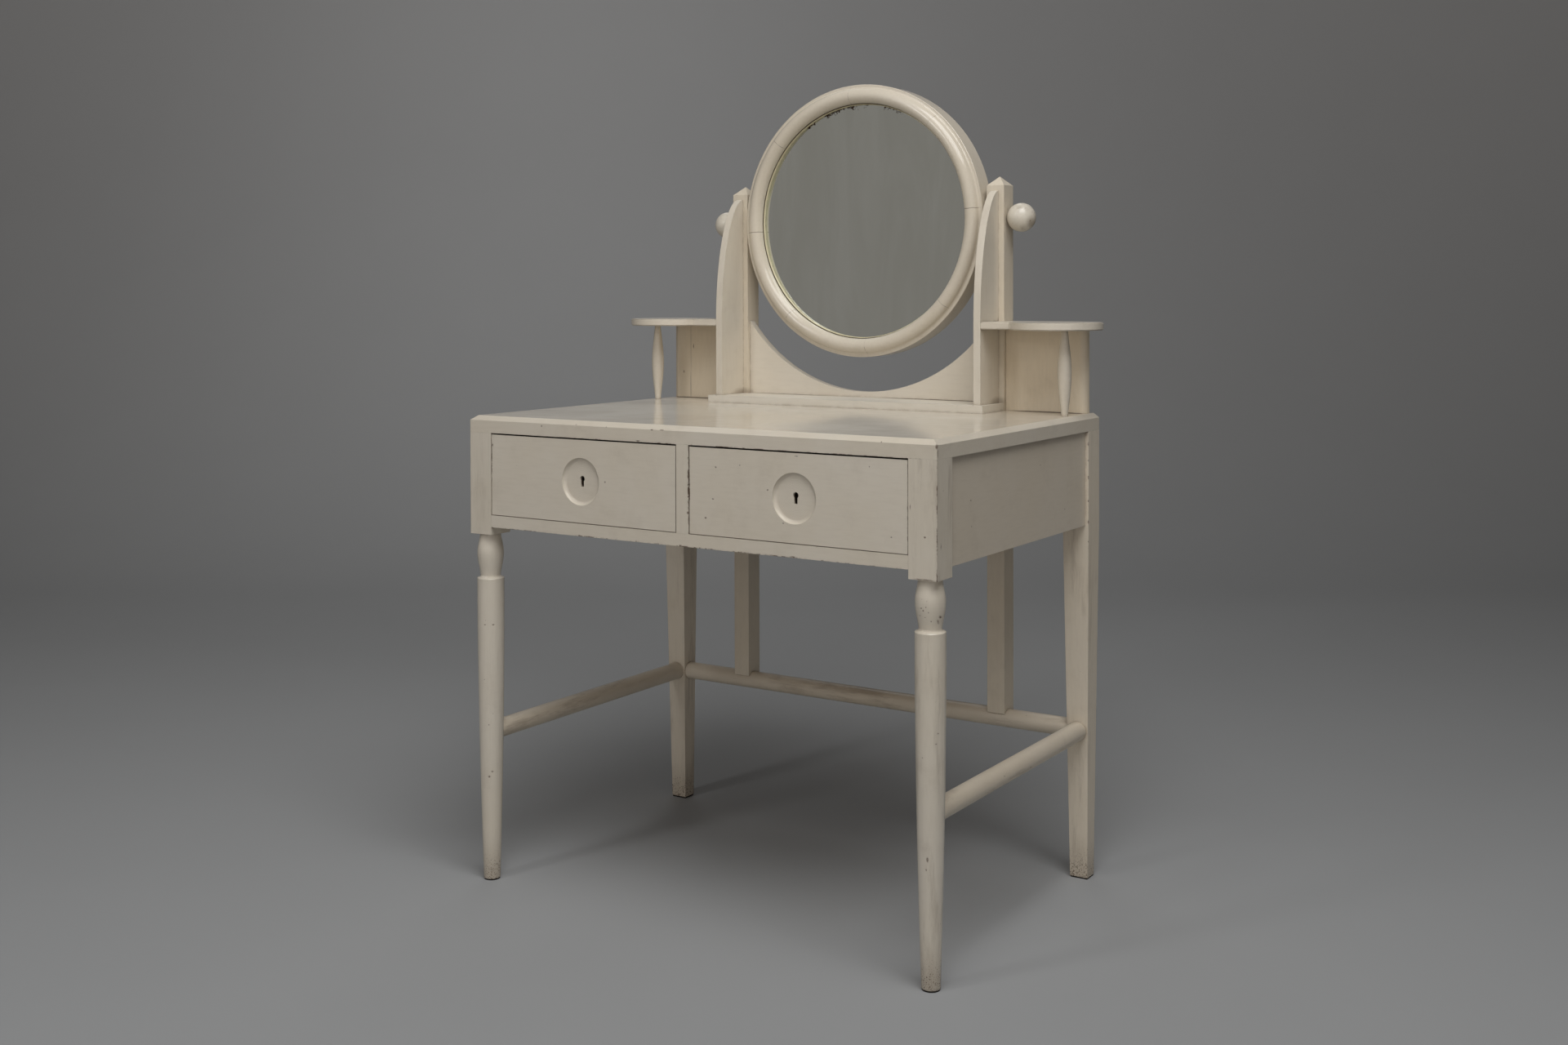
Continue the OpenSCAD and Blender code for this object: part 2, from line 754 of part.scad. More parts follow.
// The round mirror frame: half-round bead, cove, flat step and deep side wall
bead_steps = 16;
cove_steps = 5;
arris = 0.8;
pin_gap = 0.05;
module mirror_frame() {
  cove_a = asin((cove_r + bead_sink) / (bead_r + cove_r));
  cove_x = ring_r - step_w;
  color(cream) at_pivot() difference() {
    turn_front() polygon(concat(
      [[rebate_r, step_y - ring_depth], [ring_r - arris, step_y - ring_depth],
       [ring_r, step_y - ring_depth + arris], [ring_r, step_y - arris], [ring_r - arris, step_y]],
      [for (i = [0:cove_steps]) let (a = -90 - (90 - cove_a) * i / cove_steps)
        [cove_x + cove_r * cos(a), step_y + cove_r + cove_r * sin(a)]],
      [for (i = [1:bead_steps]) let (a = cove_a + (180 - cove_a) * i / bead_steps)
        [bead_x + bead_r * cos(a), step_y - bead_sink + bead_r * sin(a)]],
      [[lip_r, slip_front], [rebate_r, slip_front]]));
    both_sides() rod_x(ring_r - rod_in - rod_gap, ring_r + past, rod_d / 2 + rod_gap);
    backboard_pins(pin_gap);
  }
}

// The slip between the frame and the glass
slip_gap = 0.3;
slip_line = 0.8;
module mirror_slip() {
  color([0.85, 0.79, 0.56]) at_pivot() turn_front()
    polygon([[lip_r - slip_bevel, glass_front], [rebate_r - slip_gap, glass_front],
             [rebate_r - slip_gap, slip_front - slip_line], [lip_r - slip_gap, slip_front - slip_line]]);
}

// The silvered glass
module mirror_glass() {
  color([0.56, 0.58, 0.57]) at_pivot() translate([0, -board_front, 0]) rotate([90, 0, 0])
    cylinder(r = rebate_r - slip_gap, h = glass_t, $fn = 120);
}

// The board behind the glass
module mirror_backboard() {
  color(bare_wood) at_pivot() translate([0, -board_back, 0]) rotate([90, 0, 0])
    cylinder(r = rebate_r - slip_gap, h = backboard_t, $fn = 120);
}

// Pins behind the board, driven into the frame, grown by a gap for their holes
module backboard_pins(gap) {
  for (i = [0:pin_count - 1])
    rotate([0, 360 * (i + 0.5) / pin_count, 0]) translate([0, pin_r - board_back, 0])
      rod_x(rebate_r - pin_l / 2, rebate_r + pin_l / 2 + gap, pin_r + gap);
}
module mirror_pins() {
  color(steel) at_pivot() backboard_pins(0);
}

// The two rods that the mirror swings on
rod_end_gap = 2;
module pivot_rods() {
  color(steel) at_pivot() both_sides()
    rod_x(ring_r - rod_in, post_out + face_gap + ball_bore - rod_end_gap, rod_d / 2);
}

// A washer between the frame and each post
module pivot_washers() {
  color(cream) at_pivot() both_sides() difference() {
    rod_x(ring_r, ring_r + washer_t, washer_r);
    rod_x(ring_r - past, ring_r + washer_t + past, rod_d / 2 + rod_gap);
  }
}

// A ball knob that clamps the mirror, flattened where it meets the post
module knob(side) {
  ball_x = post_out + face_gap + ball_r - ball_flat;
  color(cream) at_pivot() on_side(side) difference() {
    translate([ball_x, 0, 0]) rotate([0, 90, 0]) sphere(r = ball_r, $fn = 96);
    slab([ball_x - ball_r - past, -ball_r, -ball_r], [post_out + face_gap, ball_r, ball_r]);
    rod_x(post_out, post_out + face_gap + ball_bore, rod_d / 2 + rod_gap);
  }
}

// Dovetails at the front end of a drawer side, grown by a gap for their sockets
tail_narrow = 0.28;
tail_wide = 0.38;
module tails(gap) {
  pitch = (side_z1 - drawer_z0) / tail_count;
  y0 = front_back_y - tail_l - gap;
  y1 = front_back_y;
  narrow = pitch * tail_narrow + gap;
  wide = pitch * tail_wide + gap;
  for (i = [0:tail_count - 1]) translate([0, 0, drawer_z0 + (i + 0.5) * pitch])
    rotate([90, 0, 90]) linear_extrude(height = box_t + gap)
      polygon([[y1 + past, -narrow], [y1 + past, narrow], [y1, narrow],
               [y0, wide], [y0, -wide], [y1, -narrow]]);
}

// Places children drawn at the inner or outer end of the right drawer, with X into the drawer
module at_drawer_end(end) {
  if (end > 0) translate([drawer_x + half_drawer, 0, 0]) mirror([1, 0, 0]) children();
  else translate([drawer_x - half_drawer, 0, 0]) children();
}

// The keyhole outline, with the middle of its round head at the origin
module keyhole_outline() {
  circle(r = key_r, $fn = 32);
  translate([-key_slot_w / 2, key_r - key_h]) square([key_slot_w, key_h - key_r]);
}

// The room that a lock takes at the back of a drawer front, grown by a gap
module lock_room(gap) {
  slab([drawer_x - lock_w / 2 - gap, front_back_y - lock_t - gap, key_z - lock_below - gap],
       [drawer_x + lock_w / 2 + gap, front_back_y + past, drawer_z1 + past]);
}

// A drawer front with its dished recess, keyhole, lock room, sockets and groove
dish_steps = 8;
module drawer_front(side) {
  x0 = drawer_x - half_drawer;
  x1 = drawer_x + half_drawer;
  groove_in = box_t - groove - joint_gap;
  floor_r = dish_r - sqrt(dish_cove * dish_cove - pow(dish_cove - dish_depth, 2));
  wall_a = acos((dish_cove - dish_depth) / dish_cove);
  color(cream) on_side(side) difference() {
    slab([x0, drawer_y0, drawer_z0], [x1, front_back_y, drawer_z1]);
    translate([drawer_x, drawer_y0 + dish_depth, dish_z]) turn_front()
      polygon(concat(
        [[0, 0]],
        [for (i = [0:dish_steps]) let (a = wall_a * i / dish_steps)
          [floor_r + dish_cove * sin(a), dish_cove - dish_cove * cos(a)]],
        [[dish_r, dish_depth + past], [0, dish_depth + past]]));
    translate([drawer_x, front_back_y + past, key_z]) rotate([90, 0, 0])
      linear_extrude(height = front_t + 2 * past) keyhole_outline();
    lock_room(joint_gap);
    at_drawer_end(-1) tails(joint_gap);
    at_drawer_end(1) tails(joint_gap);
    slab([x0 + groove_in, front_back_y - groove - joint_gap, floor_z0 - joint_gap],
         [x1 - groove_in, front_back_y + past, floor_z0 + floor_t + joint_gap]);
  }
}

// A drawer side, dovetailed at the front, grooved for the bottom and housed for the back
housing = 4;
module drawer_side(side, end) {
  color(bare_wood) on_side(side) at_drawer_end(end) difference() {
    union() {
      slab([0, front_back_y, drawer_z0], [box_t, drawer_y1, side_z1]);
      intersection() {
        tails(0);
        slab([0, front_back_y - tail_l, drawer_z0], [box_t, front_back_y + past, side_z1]);
      }
    }
    slab([box_t - groove - joint_gap, front_back_y - tail_l - past, floor_z0 - joint_gap],
         [box_t + past, drawer_y1 + past, floor_z0 + floor_t + joint_gap]);
    slab([box_t - housing - joint_gap, drawer_y1 - back_inset - box_t - joint_gap, floor_z0 + floor_t],
         [box_t + past, drawer_y1 - back_inset + joint_gap, side_z1 + past]);
  }
}

// A drawer back, which stands on the bottom
back_inset = 12;
back_drop = 3;
module drawer_back(side) {
  half_l = half_drawer - box_t + housing;
  color(bare_wood) on_side(side)
    slab([drawer_x - half_l, drawer_y1 - back_inset - box_t, floor_z0 + floor_t],
         [drawer_x + half_l, drawer_y1 - back_inset, side_z1 - back_drop]);
}

// A drawer bottom in its grooves
module drawer_bottom(side) {
  half_l = half_drawer - box_t + groove;
  color(bare_wood) on_side(side)
    slab([drawer_x - half_l, front_back_y - groove, floor_z0],
         [drawer_x + half_l, drawer_y1, floor_z0 + floor_t]);
}

// A lock at the back of a drawer front, with the room of its bolt and of the key
key_room_w = 22;
key_room_h = 26;
key_pin_r = 1.4;
key_pin_root = 1;
bolt_y = front_back_y - lock_t / 2;
module lock(side) {
  way_w = bolt_w + 2 * bolt_gap;
  way_t = bolt_t + 2 * bolt_gap;
  color(steel) on_side(side) union() {
    difference() {
      slab([drawer_x - lock_w / 2, front_back_y - lock_t, key_z - lock_below],
           [drawer_x + lock_w / 2, front_back_y, drawer_z1]);
      slab([drawer_x - way_w / 2, bolt_y - way_t / 2, drawer_z1 - bolt_l - bolt_gap],
           [drawer_x + way_w / 2, bolt_y + way_t / 2, drawer_z1 + past]);
      translate([drawer_x, bolt_y, key_z]) rotate([90, 0, 0])
        linear_extrude(height = lock_t) keyhole_outline();
      slab([drawer_x - key_room_w / 2, bolt_y - bolt_t / 2, key_z - key_room_h / 2],
           [drawer_x + key_room_w / 2, bolt_y + bolt_t / 2, key_z + key_room_h / 2]);
    }
    translate([drawer_x, bolt_y + bolt_t / 2 + key_pin_root, key_z]) rotate([90, 0, 0])
      cylinder(r = key_pin_r, h = bolt_t + 2 * key_pin_root, $fn = 24);
  }
}

// The bolt of a lock, drawn back
module lock_bolt(side) {
  color(steel) on_side(side)
    slab([drawer_x - bolt_w / 2, bolt_y - bolt_t / 2, drawer_z1 - bolt_l],
         [drawer_x + bolt_w / 2, bolt_y + bolt_t / 2, drawer_z1]);
}

top_board();
front_leg(-1);  // front_leg_left
front_leg(1);  // front_leg_right
rear_leg(-1);  // rear_leg_left
rear_leg(1);  // rear_leg_right
foot_glides();
side_panel(-1);  // side_panel_left
side_panel(1);  // side_panel_right
case_back();
front_rail();
drawer_divider();
side_runner(-1);  // runner_left
middle_runner();  // runner_middle
side_runner(1);  // runner_right
side_guide(-1);  // guide_left
middle_guide();  // guide_middle
side_guide(1);  // guide_right
drawer_stops();
side_stretcher(-1);  // stretcher_left
side_stretcher(1);  // stretcher_right
rear_stretcher();  // stretcher_rear
plinth();
post(-1);  // post_left
post(1);  // post_right
post_screws();
bracket(-1);  // bracket_left
bracket(1);  // bracket_right
arched_board();
niche_board(-1);  // niche_board_left
niche_board(1);  // niche_board_right
side_shelf(-1);  // side_shelf_left
side_shelf(1);  // side_shelf_right
spindle(-1);  // spindle_left
spindle(1);  // spindle_right
mirror_frame();
mirror_slip();
mirror_glass();
mirror_backboard();
mirror_pins();
pivot_rods();
pivot_washers();
knob(-1);  // knob_left
knob(1);  // knob_right
drawer_front(-1);  // drawer_front_left
drawer_side(-1, 1);  // drawer_side_left_outer
drawer_side(-1, -1);  // drawer_side_left_inner
drawer_back(-1);  // drawer_back_left
drawer_bottom(-1);  // drawer_bottom_left
lock(-1);  // lock_left
lock_bolt(-1);  // lock_bolt_left
drawer_front(1);  // drawer_front_right
drawer_side(1, 1);  // drawer_side_right_outer
drawer_side(1, -1);  // drawer_side_right_inner
drawer_back(1);  // drawer_back_right
drawer_bottom(1);  // drawer_bottom_right
lock(1);  // lock_right
lock_bolt(1);  // lock_bolt_right
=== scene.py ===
import math

import bmesh
import bpy
from mathutils import Euler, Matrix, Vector


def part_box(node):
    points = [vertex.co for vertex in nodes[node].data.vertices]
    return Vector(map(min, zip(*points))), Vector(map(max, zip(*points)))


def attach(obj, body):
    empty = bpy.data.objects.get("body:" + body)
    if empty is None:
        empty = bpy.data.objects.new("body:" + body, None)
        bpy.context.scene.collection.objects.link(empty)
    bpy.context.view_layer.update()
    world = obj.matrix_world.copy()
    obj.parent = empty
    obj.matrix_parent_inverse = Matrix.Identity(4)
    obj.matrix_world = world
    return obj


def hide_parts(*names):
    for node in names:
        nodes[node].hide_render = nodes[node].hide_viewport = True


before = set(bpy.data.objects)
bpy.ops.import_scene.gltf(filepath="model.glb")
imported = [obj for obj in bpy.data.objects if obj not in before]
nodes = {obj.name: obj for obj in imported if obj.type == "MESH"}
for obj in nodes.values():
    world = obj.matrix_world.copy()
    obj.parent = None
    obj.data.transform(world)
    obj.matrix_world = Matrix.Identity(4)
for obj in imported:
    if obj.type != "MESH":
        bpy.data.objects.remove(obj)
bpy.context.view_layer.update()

# The scene is in metres. A value in mm becomes metres with this factor.
MM = 0.001

# Heights read from the model, in metres
PIVOT_Z = sum(corner.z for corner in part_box("mirror_frame")) / 2
SHUT_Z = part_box("drawer_divider")[1].z

# Rays that a bevel or occlusion node sends out at each point
NODE_SAMPLES = 4

# Noise that roughens the outline of placed marks: repeats per metre, and detail
OUTLINE_NOISE = (420.0, 3.0)


# Small helpers for shader nodes

class Graph:
    """A material's node tree with short calls for the nodes used here."""

    def __init__(self, name):
        self.material = bpy.data.materials.new(name)
        self.material.use_nodes = True
        self.tree = self.material.node_tree
        self.tree.nodes.clear()
        self.out = self.tree.nodes.new("ShaderNodeOutputMaterial")
        self.bsdf = self.tree.nodes.new("ShaderNodeBsdfPrincipled")
        self.tree.links.new(self.bsdf.outputs[0], self.out.inputs["Surface"])
        self.coords = self.node("ShaderNodeTexCoord").outputs["Object"]

    def node(self, kind, **settings):
        made = self.tree.nodes.new(kind)
        for key, value in settings.items():
            setattr(made, key, value)
        return made

    def feed(self, socket, value):
        """Links a socket to another node's output, or sets a constant on it."""
        if isinstance(value, bpy.types.NodeSocket):
            self.tree.links.new(value, socket)
        else:
            socket.default_value = value

    def math(self, operation, a, b=0.0, clamp=False):
        made = self.node("ShaderNodeMath", operation=operation, use_clamp=clamp)
        self.feed(made.inputs[0], a)
        self.feed(made.inputs[1], b)
        return made.outputs[0]

    def both(self, a, b):
        return self.math("MULTIPLY", a, b)

    def either(self, a, b):
        return self.math("MAXIMUM", a, b)

    def ramp(self, value, low, high, out_low=0.0, out_high=1.0):
        """A soft step: out_low where the value is low, out_high where it is high."""
        made = self.node("ShaderNodeMapRange", interpolation_type="SMOOTHSTEP")
        for socket, entry in zip(made.inputs, (value, low, high, out_low, out_high)):
            self.feed(socket, entry)
        return made.outputs[0]

    def mix(self, factor, a, b):
        """Colour a where the factor is 0, colour b where it is 1."""
        made = self.node("ShaderNodeMix", data_type="RGBA")
        self.feed(made.inputs[0], factor)
        self.feed(made.inputs[6], a)
        self.feed(made.inputs[7], b)
        return made.outputs[2]

    def place(self, scale=(1, 1, 1), offset=(0, 0, 0), coords=None):
        made = self.node("ShaderNodeMapping")
        self.feed(made.inputs["Vector"], coords or self.coords)
        made.inputs["Scale"].default_value = scale
        made.inputs["Location"].default_value = offset
        return made.outputs[0]

    def noise(self, scale, detail=3.0, rough=0.5, coords=None, distortion=0.0, colour=False):
        made = self.node("ShaderNodeTexNoise")
        self.feed(made.inputs["Vector"], coords or self.coords)
        made.inputs["Scale"].default_value = scale
        made.inputs["Detail"].default_value = detail
        made.inputs["Roughness"].default_value = rough
        made.inputs["Distortion"].default_value = distortion
        return made.outputs["Color" if colour else 0]

    def cells(self, scale, coords=None):
        made = self.node("ShaderNodeTexVoronoi", feature="F1")
        self.feed(made.inputs["Vector"], coords or self.coords)
        made.inputs["Scale"].default_value = scale
        return made

    def axes(self, coords=None):
        made = self.node("ShaderNodeSeparateXYZ")
        self.feed(made.inputs[0], coords or self.coords)
        return made.outputs

    def length(self, a, b):
        """The length of the vector with these two parts."""
        return self.math("SQRT", self.math("ADD", self.both(a, a), self.both(b, b)))

    def facing(self):
        """The surface's own direction, as x, y and z."""
        return self.axes(self.node("ShaderNodeNewGeometry").outputs["True Normal"])

    def rounded(self, radius):
        """The surface's direction with its arrises rounded by this radius."""
        bevel = self.node("ShaderNodeBevel", samples=NODE_SAMPLES)
        bevel.inputs["Radius"].default_value = radius
        return bevel.outputs[0]

    def edge(self, radius):
        """Above 0 within this distance of an arris or a corner, 0 on flat areas."""
        plain = self.node("ShaderNodeNewGeometry").outputs["Normal"]
        dot = self.node("ShaderNodeVectorMath", operation="DOT_PRODUCT")
        self.feed(dot.inputs[0], self.rounded(radius))
        self.feed(dot.inputs[1], plain)
        return self.math("SUBTRACT", 1.0, dot.outputs["Value"], clamp=True)

    def spots(self, marks, ragged=1.4, soft=0.3):
        """1 inside rough-edged patches. A mark is its centre and its three half-sizes, in mm."""
        moved = self.node("ShaderNodeVectorMath", operation="MULTIPLY_ADD")
        self.feed(moved.inputs[0], self.noise(*OUTLINE_NOISE, colour=True))
        moved.inputs[1].default_value = (ragged * MM,) * 3
        self.feed(moved.inputs[2], self.coords)
        total = None
        for centre, half in marks:
            shift = [-(c + ragged / 2) / h for c, h in zip(centre, half)]
            near = self.place([1 / (MM * h) for h in half], shift, moved.outputs[0])
            away = self.node("ShaderNodeVectorMath", operation="LENGTH")
            self.feed(away.inputs[0], near)
            inside = self.ramp(away.outputs["Value"], 1 - soft, 1 + soft, 1.0, 0.0)
            total = inside if total is None else self.either(total, inside)
        return total

    def polar(self):
        """Distance from the mirror's axis, and the angle round it from +X towards +Z."""
        x, _, z = self.axes()
        up = self.math("SUBTRACT", z, PIVOT_Z)
        return self.length(x, up), self.math("ARCTAN2", up, x)

    def bump(self, height, distance, normal=None):
        made = self.node("ShaderNodeBump")
        made.inputs["Strength"].default_value = 1.0
        made.inputs["Distance"].default_value = distance
        self.feed(made.inputs["Height"], height)
        if normal:
            self.feed(made.inputs["Normal"], normal)
        return made.outputs[0]


# Colours

CREAM = (0.702, 0.644, 0.548)
CREAM_WARM = (0.682, 0.618, 0.512)
CHIP = (0.12, 0.072, 0.046, 1)
# Dark brown for dirt and worn paint, and for the painted shade in corners
GRIME_AND_SHADE = (0.27, 0.21, 0.15, 1)
# Near black for dark joints and cracks, and for painted shade in the drawers' gaps, the slip's
# groove, the keyholes and under the table top
SOOT_AND_SHADE = (0.05, 0.034, 0.024, 1)
WOOD = (0.50, 0.35, 0.20, 1)
WOOD_DARK = (0.33, 0.20, 0.10, 1)
WOOD_DIRT = (0.20, 0.15, 0.10, 1)
STEEL = (0.50, 0.48, 0.44, 1)
STEEL_RUST = (0.12, 0.07, 0.04, 1)
IRON = (0.12, 0.105, 0.09, 1)
IRON_RUST = (0.06, 0.04, 0.03, 1)
PAD = (0.05, 0.045, 0.04, 1)
PAD_RUST = (0.04, 0.03, 0.025, 1)
SILVER = (0.705, 0.74, 0.70, 1)
SILVER_DIM = (0.655, 0.685, 0.64, 1)
SILVER_LOST = (0.055, 0.036, 0.026, 1)


def tinted(colour, tint):
    return tuple(c * t for c, t in zip(colour, tint)) + (1,)


# Noise in the cream paint: repeats per metre, detail, and roughness of that detail

CLOUD = (4.5, 4.0, 0.6)
BLOTCH = (21.0, 5.0, 0.65)
BRUSH = (240.0, 3.0, 0.55)
SMEAR = (48.0, 5.0, 0.7)
CORNER = (70.0, 3.0, 0.6)
NIBBLE = (260.0, 5.0, 0.62)
GATHER = (14.0, 3.0, 0.55)
TEAR = (120.0, 6.0, 0.75)
TEAR_GATHER = (26.0, 3.0, 0.5)
SPECK = (520.0, 3.0, 0.7)
WAVE = (34.0, 4.0, 0.5)
PIT_CELLS = 120.0

# How a coat's seed moves its noise along x, y and z
SEED_WAY = (1.0, 0.7, 1.3)

# Soft steps: where each starts and ends, then the two shares that it leads between. Those are
# 0 and 1 where they aren't named, and a coat's own for the smears' last and for the roughness.

CLOUD_STEP = (0.33, 0.67)
BLOTCH_STEP = (0.50, 0.82, 0.0, 0.13)
BRUSH_STEP = (0.38, 0.75, 0.0, 0.055)
SMEAR_STEP = (0.50, 0.72, 0.0)
OPEN_STEP = (0.30, 0.82, 1.0, 0.0)
CORNER_STEP = (0.3, 0.65, 0.20, 0.85)
CHIP_EDGE_STEP = (0.02, 0.07)
RUB_EDGE_STEP = (0.01, 0.14)
RUB_STEP = (0.56, 0.80)
PIT_STEP = (0.03, 0.11, 0.6, 0.0)
MARK_STEP = (0.35, 0.6, 0.45, 0.9)
TEAR_STEP = (0.47, 0.55)
TEAR_GATHER_STEP = (0.40, 0.56, 0.15, 0.9)
SPECK_STEP = (0.70, 0.76)
SPECK_LOW_STEP = (0.0, 0.3)
ROUGH_STEP = (0.3, 0.7)

# Lengths in the paint, in metres: how far wear reaches from an arris and grime with painted
# shade from a corner, how high the feet are dirty, the rounding of every arris, and the depth of
# the relief

EDGE_REACH = 0.0016
CORNER_REACH = 0.009
FOOT_HIGH = 0.085
ARRIS = 0.0008
RELIEF = 0.0002

# Chips appear where two noises together pass a limit, which is lower for a coat with more chips

NIBBLE_PART = 0.70
GATHER_PART = 0.50
CHIP_LIMIT = 0.815
CHIP_LIMIT_FALL = 0.045
CHIP_SOFT = 0.03

# Shares of another colour

RUB_SHARE = 0.22
FOOT_SHARE = 0.34
FOOT_SPECKS = 0.155
STAIN_SHARE = 0.55
LINE_SHARE = 0.8
LINE_LOSS = 0.35

# Outlines of placed marks: how far they wander in mm, and how soft they are. MARK_SOFT is the
# softness alone.

MARK_SOFT = 0.5
RAGGED_OUTLINE = (1.0, 0.4)
STAIN_OUTLINE = (5.0, 0.6)
LINE_OUTLINE = (0.3, 0.25)
HOLE_OUTLINE = (0.2, 0.05)

# Relief: parts of the brush marks and slow waves, and how deep lost paint lies

BRUSH_PART = 0.32
WAVE_PART = 0.5
LOSS_DEPTH = 1.5

# Roughness and reflection of paint, lost paint and unpainted wood

ROUGH_BELOW = 0.03
ROUGH_ABOVE = 0.05
WORN_ROUGH = 0.3
BARE_ROUGH = 0.9
SHINE = 0.5
BARE_SHINE = 0.05


def corner_grime_and_shade(g, shifted):
    """Grime and painted shade where faces meet, from an occlusion mask broken up by noise."""
    near = g.node("ShaderNodeAmbientOcclusion", samples=NODE_SAMPLES, only_local=False)
    near.inputs["Distance"].default_value = CORNER_REACH
    return g.both(g.ramp(near.outputs["AO"], *OPEN_STEP),
                  g.ramp(g.noise(*CORNER, shifted), *CORNER_STEP))


def worn_edges(g, shifted, nibble, chips):
    """Chips along the arrises, and the rubbed paint about them."""
    edge = g.edge(EDGE_REACH)
    chance = g.math("ADD", g.both(nibble, NIBBLE_PART),
                    g.both(g.noise(*GATHER, shifted), GATHER_PART))
    limit = CHIP_LIMIT - CHIP_LIMIT_FALL * chips
    chip = g.both(g.ramp(chance, limit, limit + CHIP_SOFT), g.ramp(edge, *CHIP_EDGE_STEP))
    rub = g.both(g.ramp(edge, *RUB_EDGE_STEP), g.ramp(chance, *RUB_STEP))
    return chip, rub


def pitted(g, shifted, share):
    """Small round pits, in this share of the cells."""
    cell = g.cells(PIT_CELLS, shifted)
    here = g.math("LESS_THAN", g.axes(cell.outputs["Color"])[0], share)
    return g.both(g.ramp(cell.outputs["Distance"], *PIT_STEP), here)


def torn(g, places):
    """Paint torn off in shreds along these places."""
    shreds = g.both(g.ramp(g.noise(*TEAR), *TEAR_STEP),
                    g.ramp(g.noise(*TEAR_GATHER), *TEAR_GATHER_STEP))
    return g.both(g.spots(places, *RAGGED_OUTLINE), shreds)


def dirty_foot(g, shifted):
    """How low a point is on the foot, from 0 to 1, and the specks of lost paint there."""
    low = g.ramp(g.axes()[2], 0.0, FOOT_HIGH, 1.0, 0.0)
    speck = g.math("ADD", g.noise(*SPECK, shifted), g.both(low, FOOT_SPECKS))
    return low, g.both(g.ramp(speck, *SPECK_STEP), g.ramp(low, *SPECK_LOW_STEP))


def cream(name, grain, roughness=0.32, chips=1.0, tint=(1, 1, 1), seed=0.0, relief=1.0,
          marks=(), ragged=(), stains=(), lines=(), cracks=None, foot=False, unpainted=None,
          ridges=None, pits=0.014, smear=0.0, crevices=1.0):
    """Old cream paint on wood: brush marks along the grain, grime and painted shade in corners,
    chipped edges, pits.

    The seed moves the noise, so that coats differ. chips, relief and crevices scale the wear at
    the arrises, the relief and the grime with painted shade in corners, and pits and smear are
    shares. The lists hold placed marks, among them painted shade in the drawers' gaps. Three
    functions draw on the graph: dark lines, which are the ring's cracks and the painted shade in
    the slip's groove; bare wood darkened to near black as painted shade; and ridges.
    """
    g = Graph(name)
    shifted = g.place(offset=[seed * way for way in SEED_WAY])
    along = g.place(scale=[1.0 / stretch for stretch in grain], offset=(seed,) * 3)
    cloud = g.noise(*CLOUD, shifted)
    brush = g.noise(*BRUSH, along)
    nibble = g.noise(*NIBBLE, shifted)

    # The paint's own colour, with grime and painted shade in its corners
    tone = g.mix(g.ramp(cloud, *CLOUD_STEP), tinted(CREAM_WARM, tint), tinted(CREAM, tint))
    tone = g.mix(g.ramp(g.noise(*BLOTCH, shifted), *BLOTCH_STEP), tone, GRIME_AND_SHADE)
    tone = g.mix(g.ramp(brush, *BRUSH_STEP), tone, GRIME_AND_SHADE)
    if smear:
        tone = g.mix(g.ramp(g.noise(*SMEAR, along), *SMEAR_STEP, smear), tone, GRIME_AND_SHADE)
    crevice = corner_grime_and_shade(g, shifted)
    tone = g.mix(g.both(crevice, crevices), tone, GRIME_AND_SHADE)

    # Wear that comes by itself
    chip, rub = worn_edges(g, shifted, nibble, chips)
    tone = g.mix(g.both(rub, RUB_SHARE * chips), tone, GRIME_AND_SHADE)
    lost = g.either(chip, pitted(g, shifted, pits))

    # Wear in chosen places
    if marks:
        lost = g.either(lost, g.both(g.spots(marks, soft=MARK_SOFT), g.ramp(nibble, *MARK_STEP)))
    if ragged:
        lost = g.either(lost, torn(g, ragged))
    if foot:
        low, specks = dirty_foot(g, shifted)
        lost = g.either(lost, specks)
        tone = g.mix(g.both(low, FOOT_SHARE), tone, GRIME_AND_SHADE)
    if stains:
        tone = g.mix(g.both(g.spots(stains, *STAIN_OUTLINE), STAIN_SHARE), tone, GRIME_AND_SHADE)
    # Dark lines: real joints and cracks, and painted shade in the drawers' gaps and in the slip's
    # groove
    if lines or cracks:
        cut = g.spots(lines, *LINE_OUTLINE) if lines else cracks(g)
        tone = g.mix(g.both(cut, LINE_SHARE), tone, SOOT_AND_SHADE)
        lost = g.either(lost, g.both(cut, LINE_LOSS))
    tone = g.mix(lost, tone, CHIP)

    worn = g.math("ADD", lost, g.math("ADD", rub, crevice), clamp=True)
    rough = g.ramp(cloud, *ROUGH_STEP, roughness - ROUGH_BELOW, roughness + ROUGH_ABOVE)
    rough = g.math("ADD", rough, g.both(worn, WORN_ROUGH), clamp=True)
    shine = SHINE
    # Bare wood darkened to near black: painted shade in the drawers' top gap, the keyholes and
    # under the table top
    if unpainted:
        bare_shaded_here = unpainted(g)
        tone = g.mix(bare_shaded_here, tone, SOOT_AND_SHADE)
        rough = g.either(rough, g.both(bare_shaded_here, BARE_ROUGH))
        shine = g.ramp(bare_shaded_here, 0.0, 1.0, SHINE, BARE_SHINE)

    height = g.math("ADD", g.both(brush, BRUSH_PART), g.both(g.noise(*WAVE, shifted), WAVE_PART))
    height = g.math("SUBTRACT", g.both(height, relief), g.both(lost, LOSS_DEPTH))
    if ridges:
        height = g.math("ADD", height, ridges(g))

    g.feed(g.bsdf.inputs["Base Color"], tone)
    g.feed(g.bsdf.inputs["Roughness"], rough)
    g.feed(g.bsdf.inputs["Specular IOR Level"], shine)
    g.feed(g.bsdf.inputs["Normal"], g.bump(height, RELIEF, g.rounded(ARRIS)))
    return g.material


# The ring's joints: how many there are, and the angle of the first. Then, in metres, how far a
# crack wanders, the half-widths of its dark core and of its soft edge, and the radii between which
# it fades to a share of its strength.

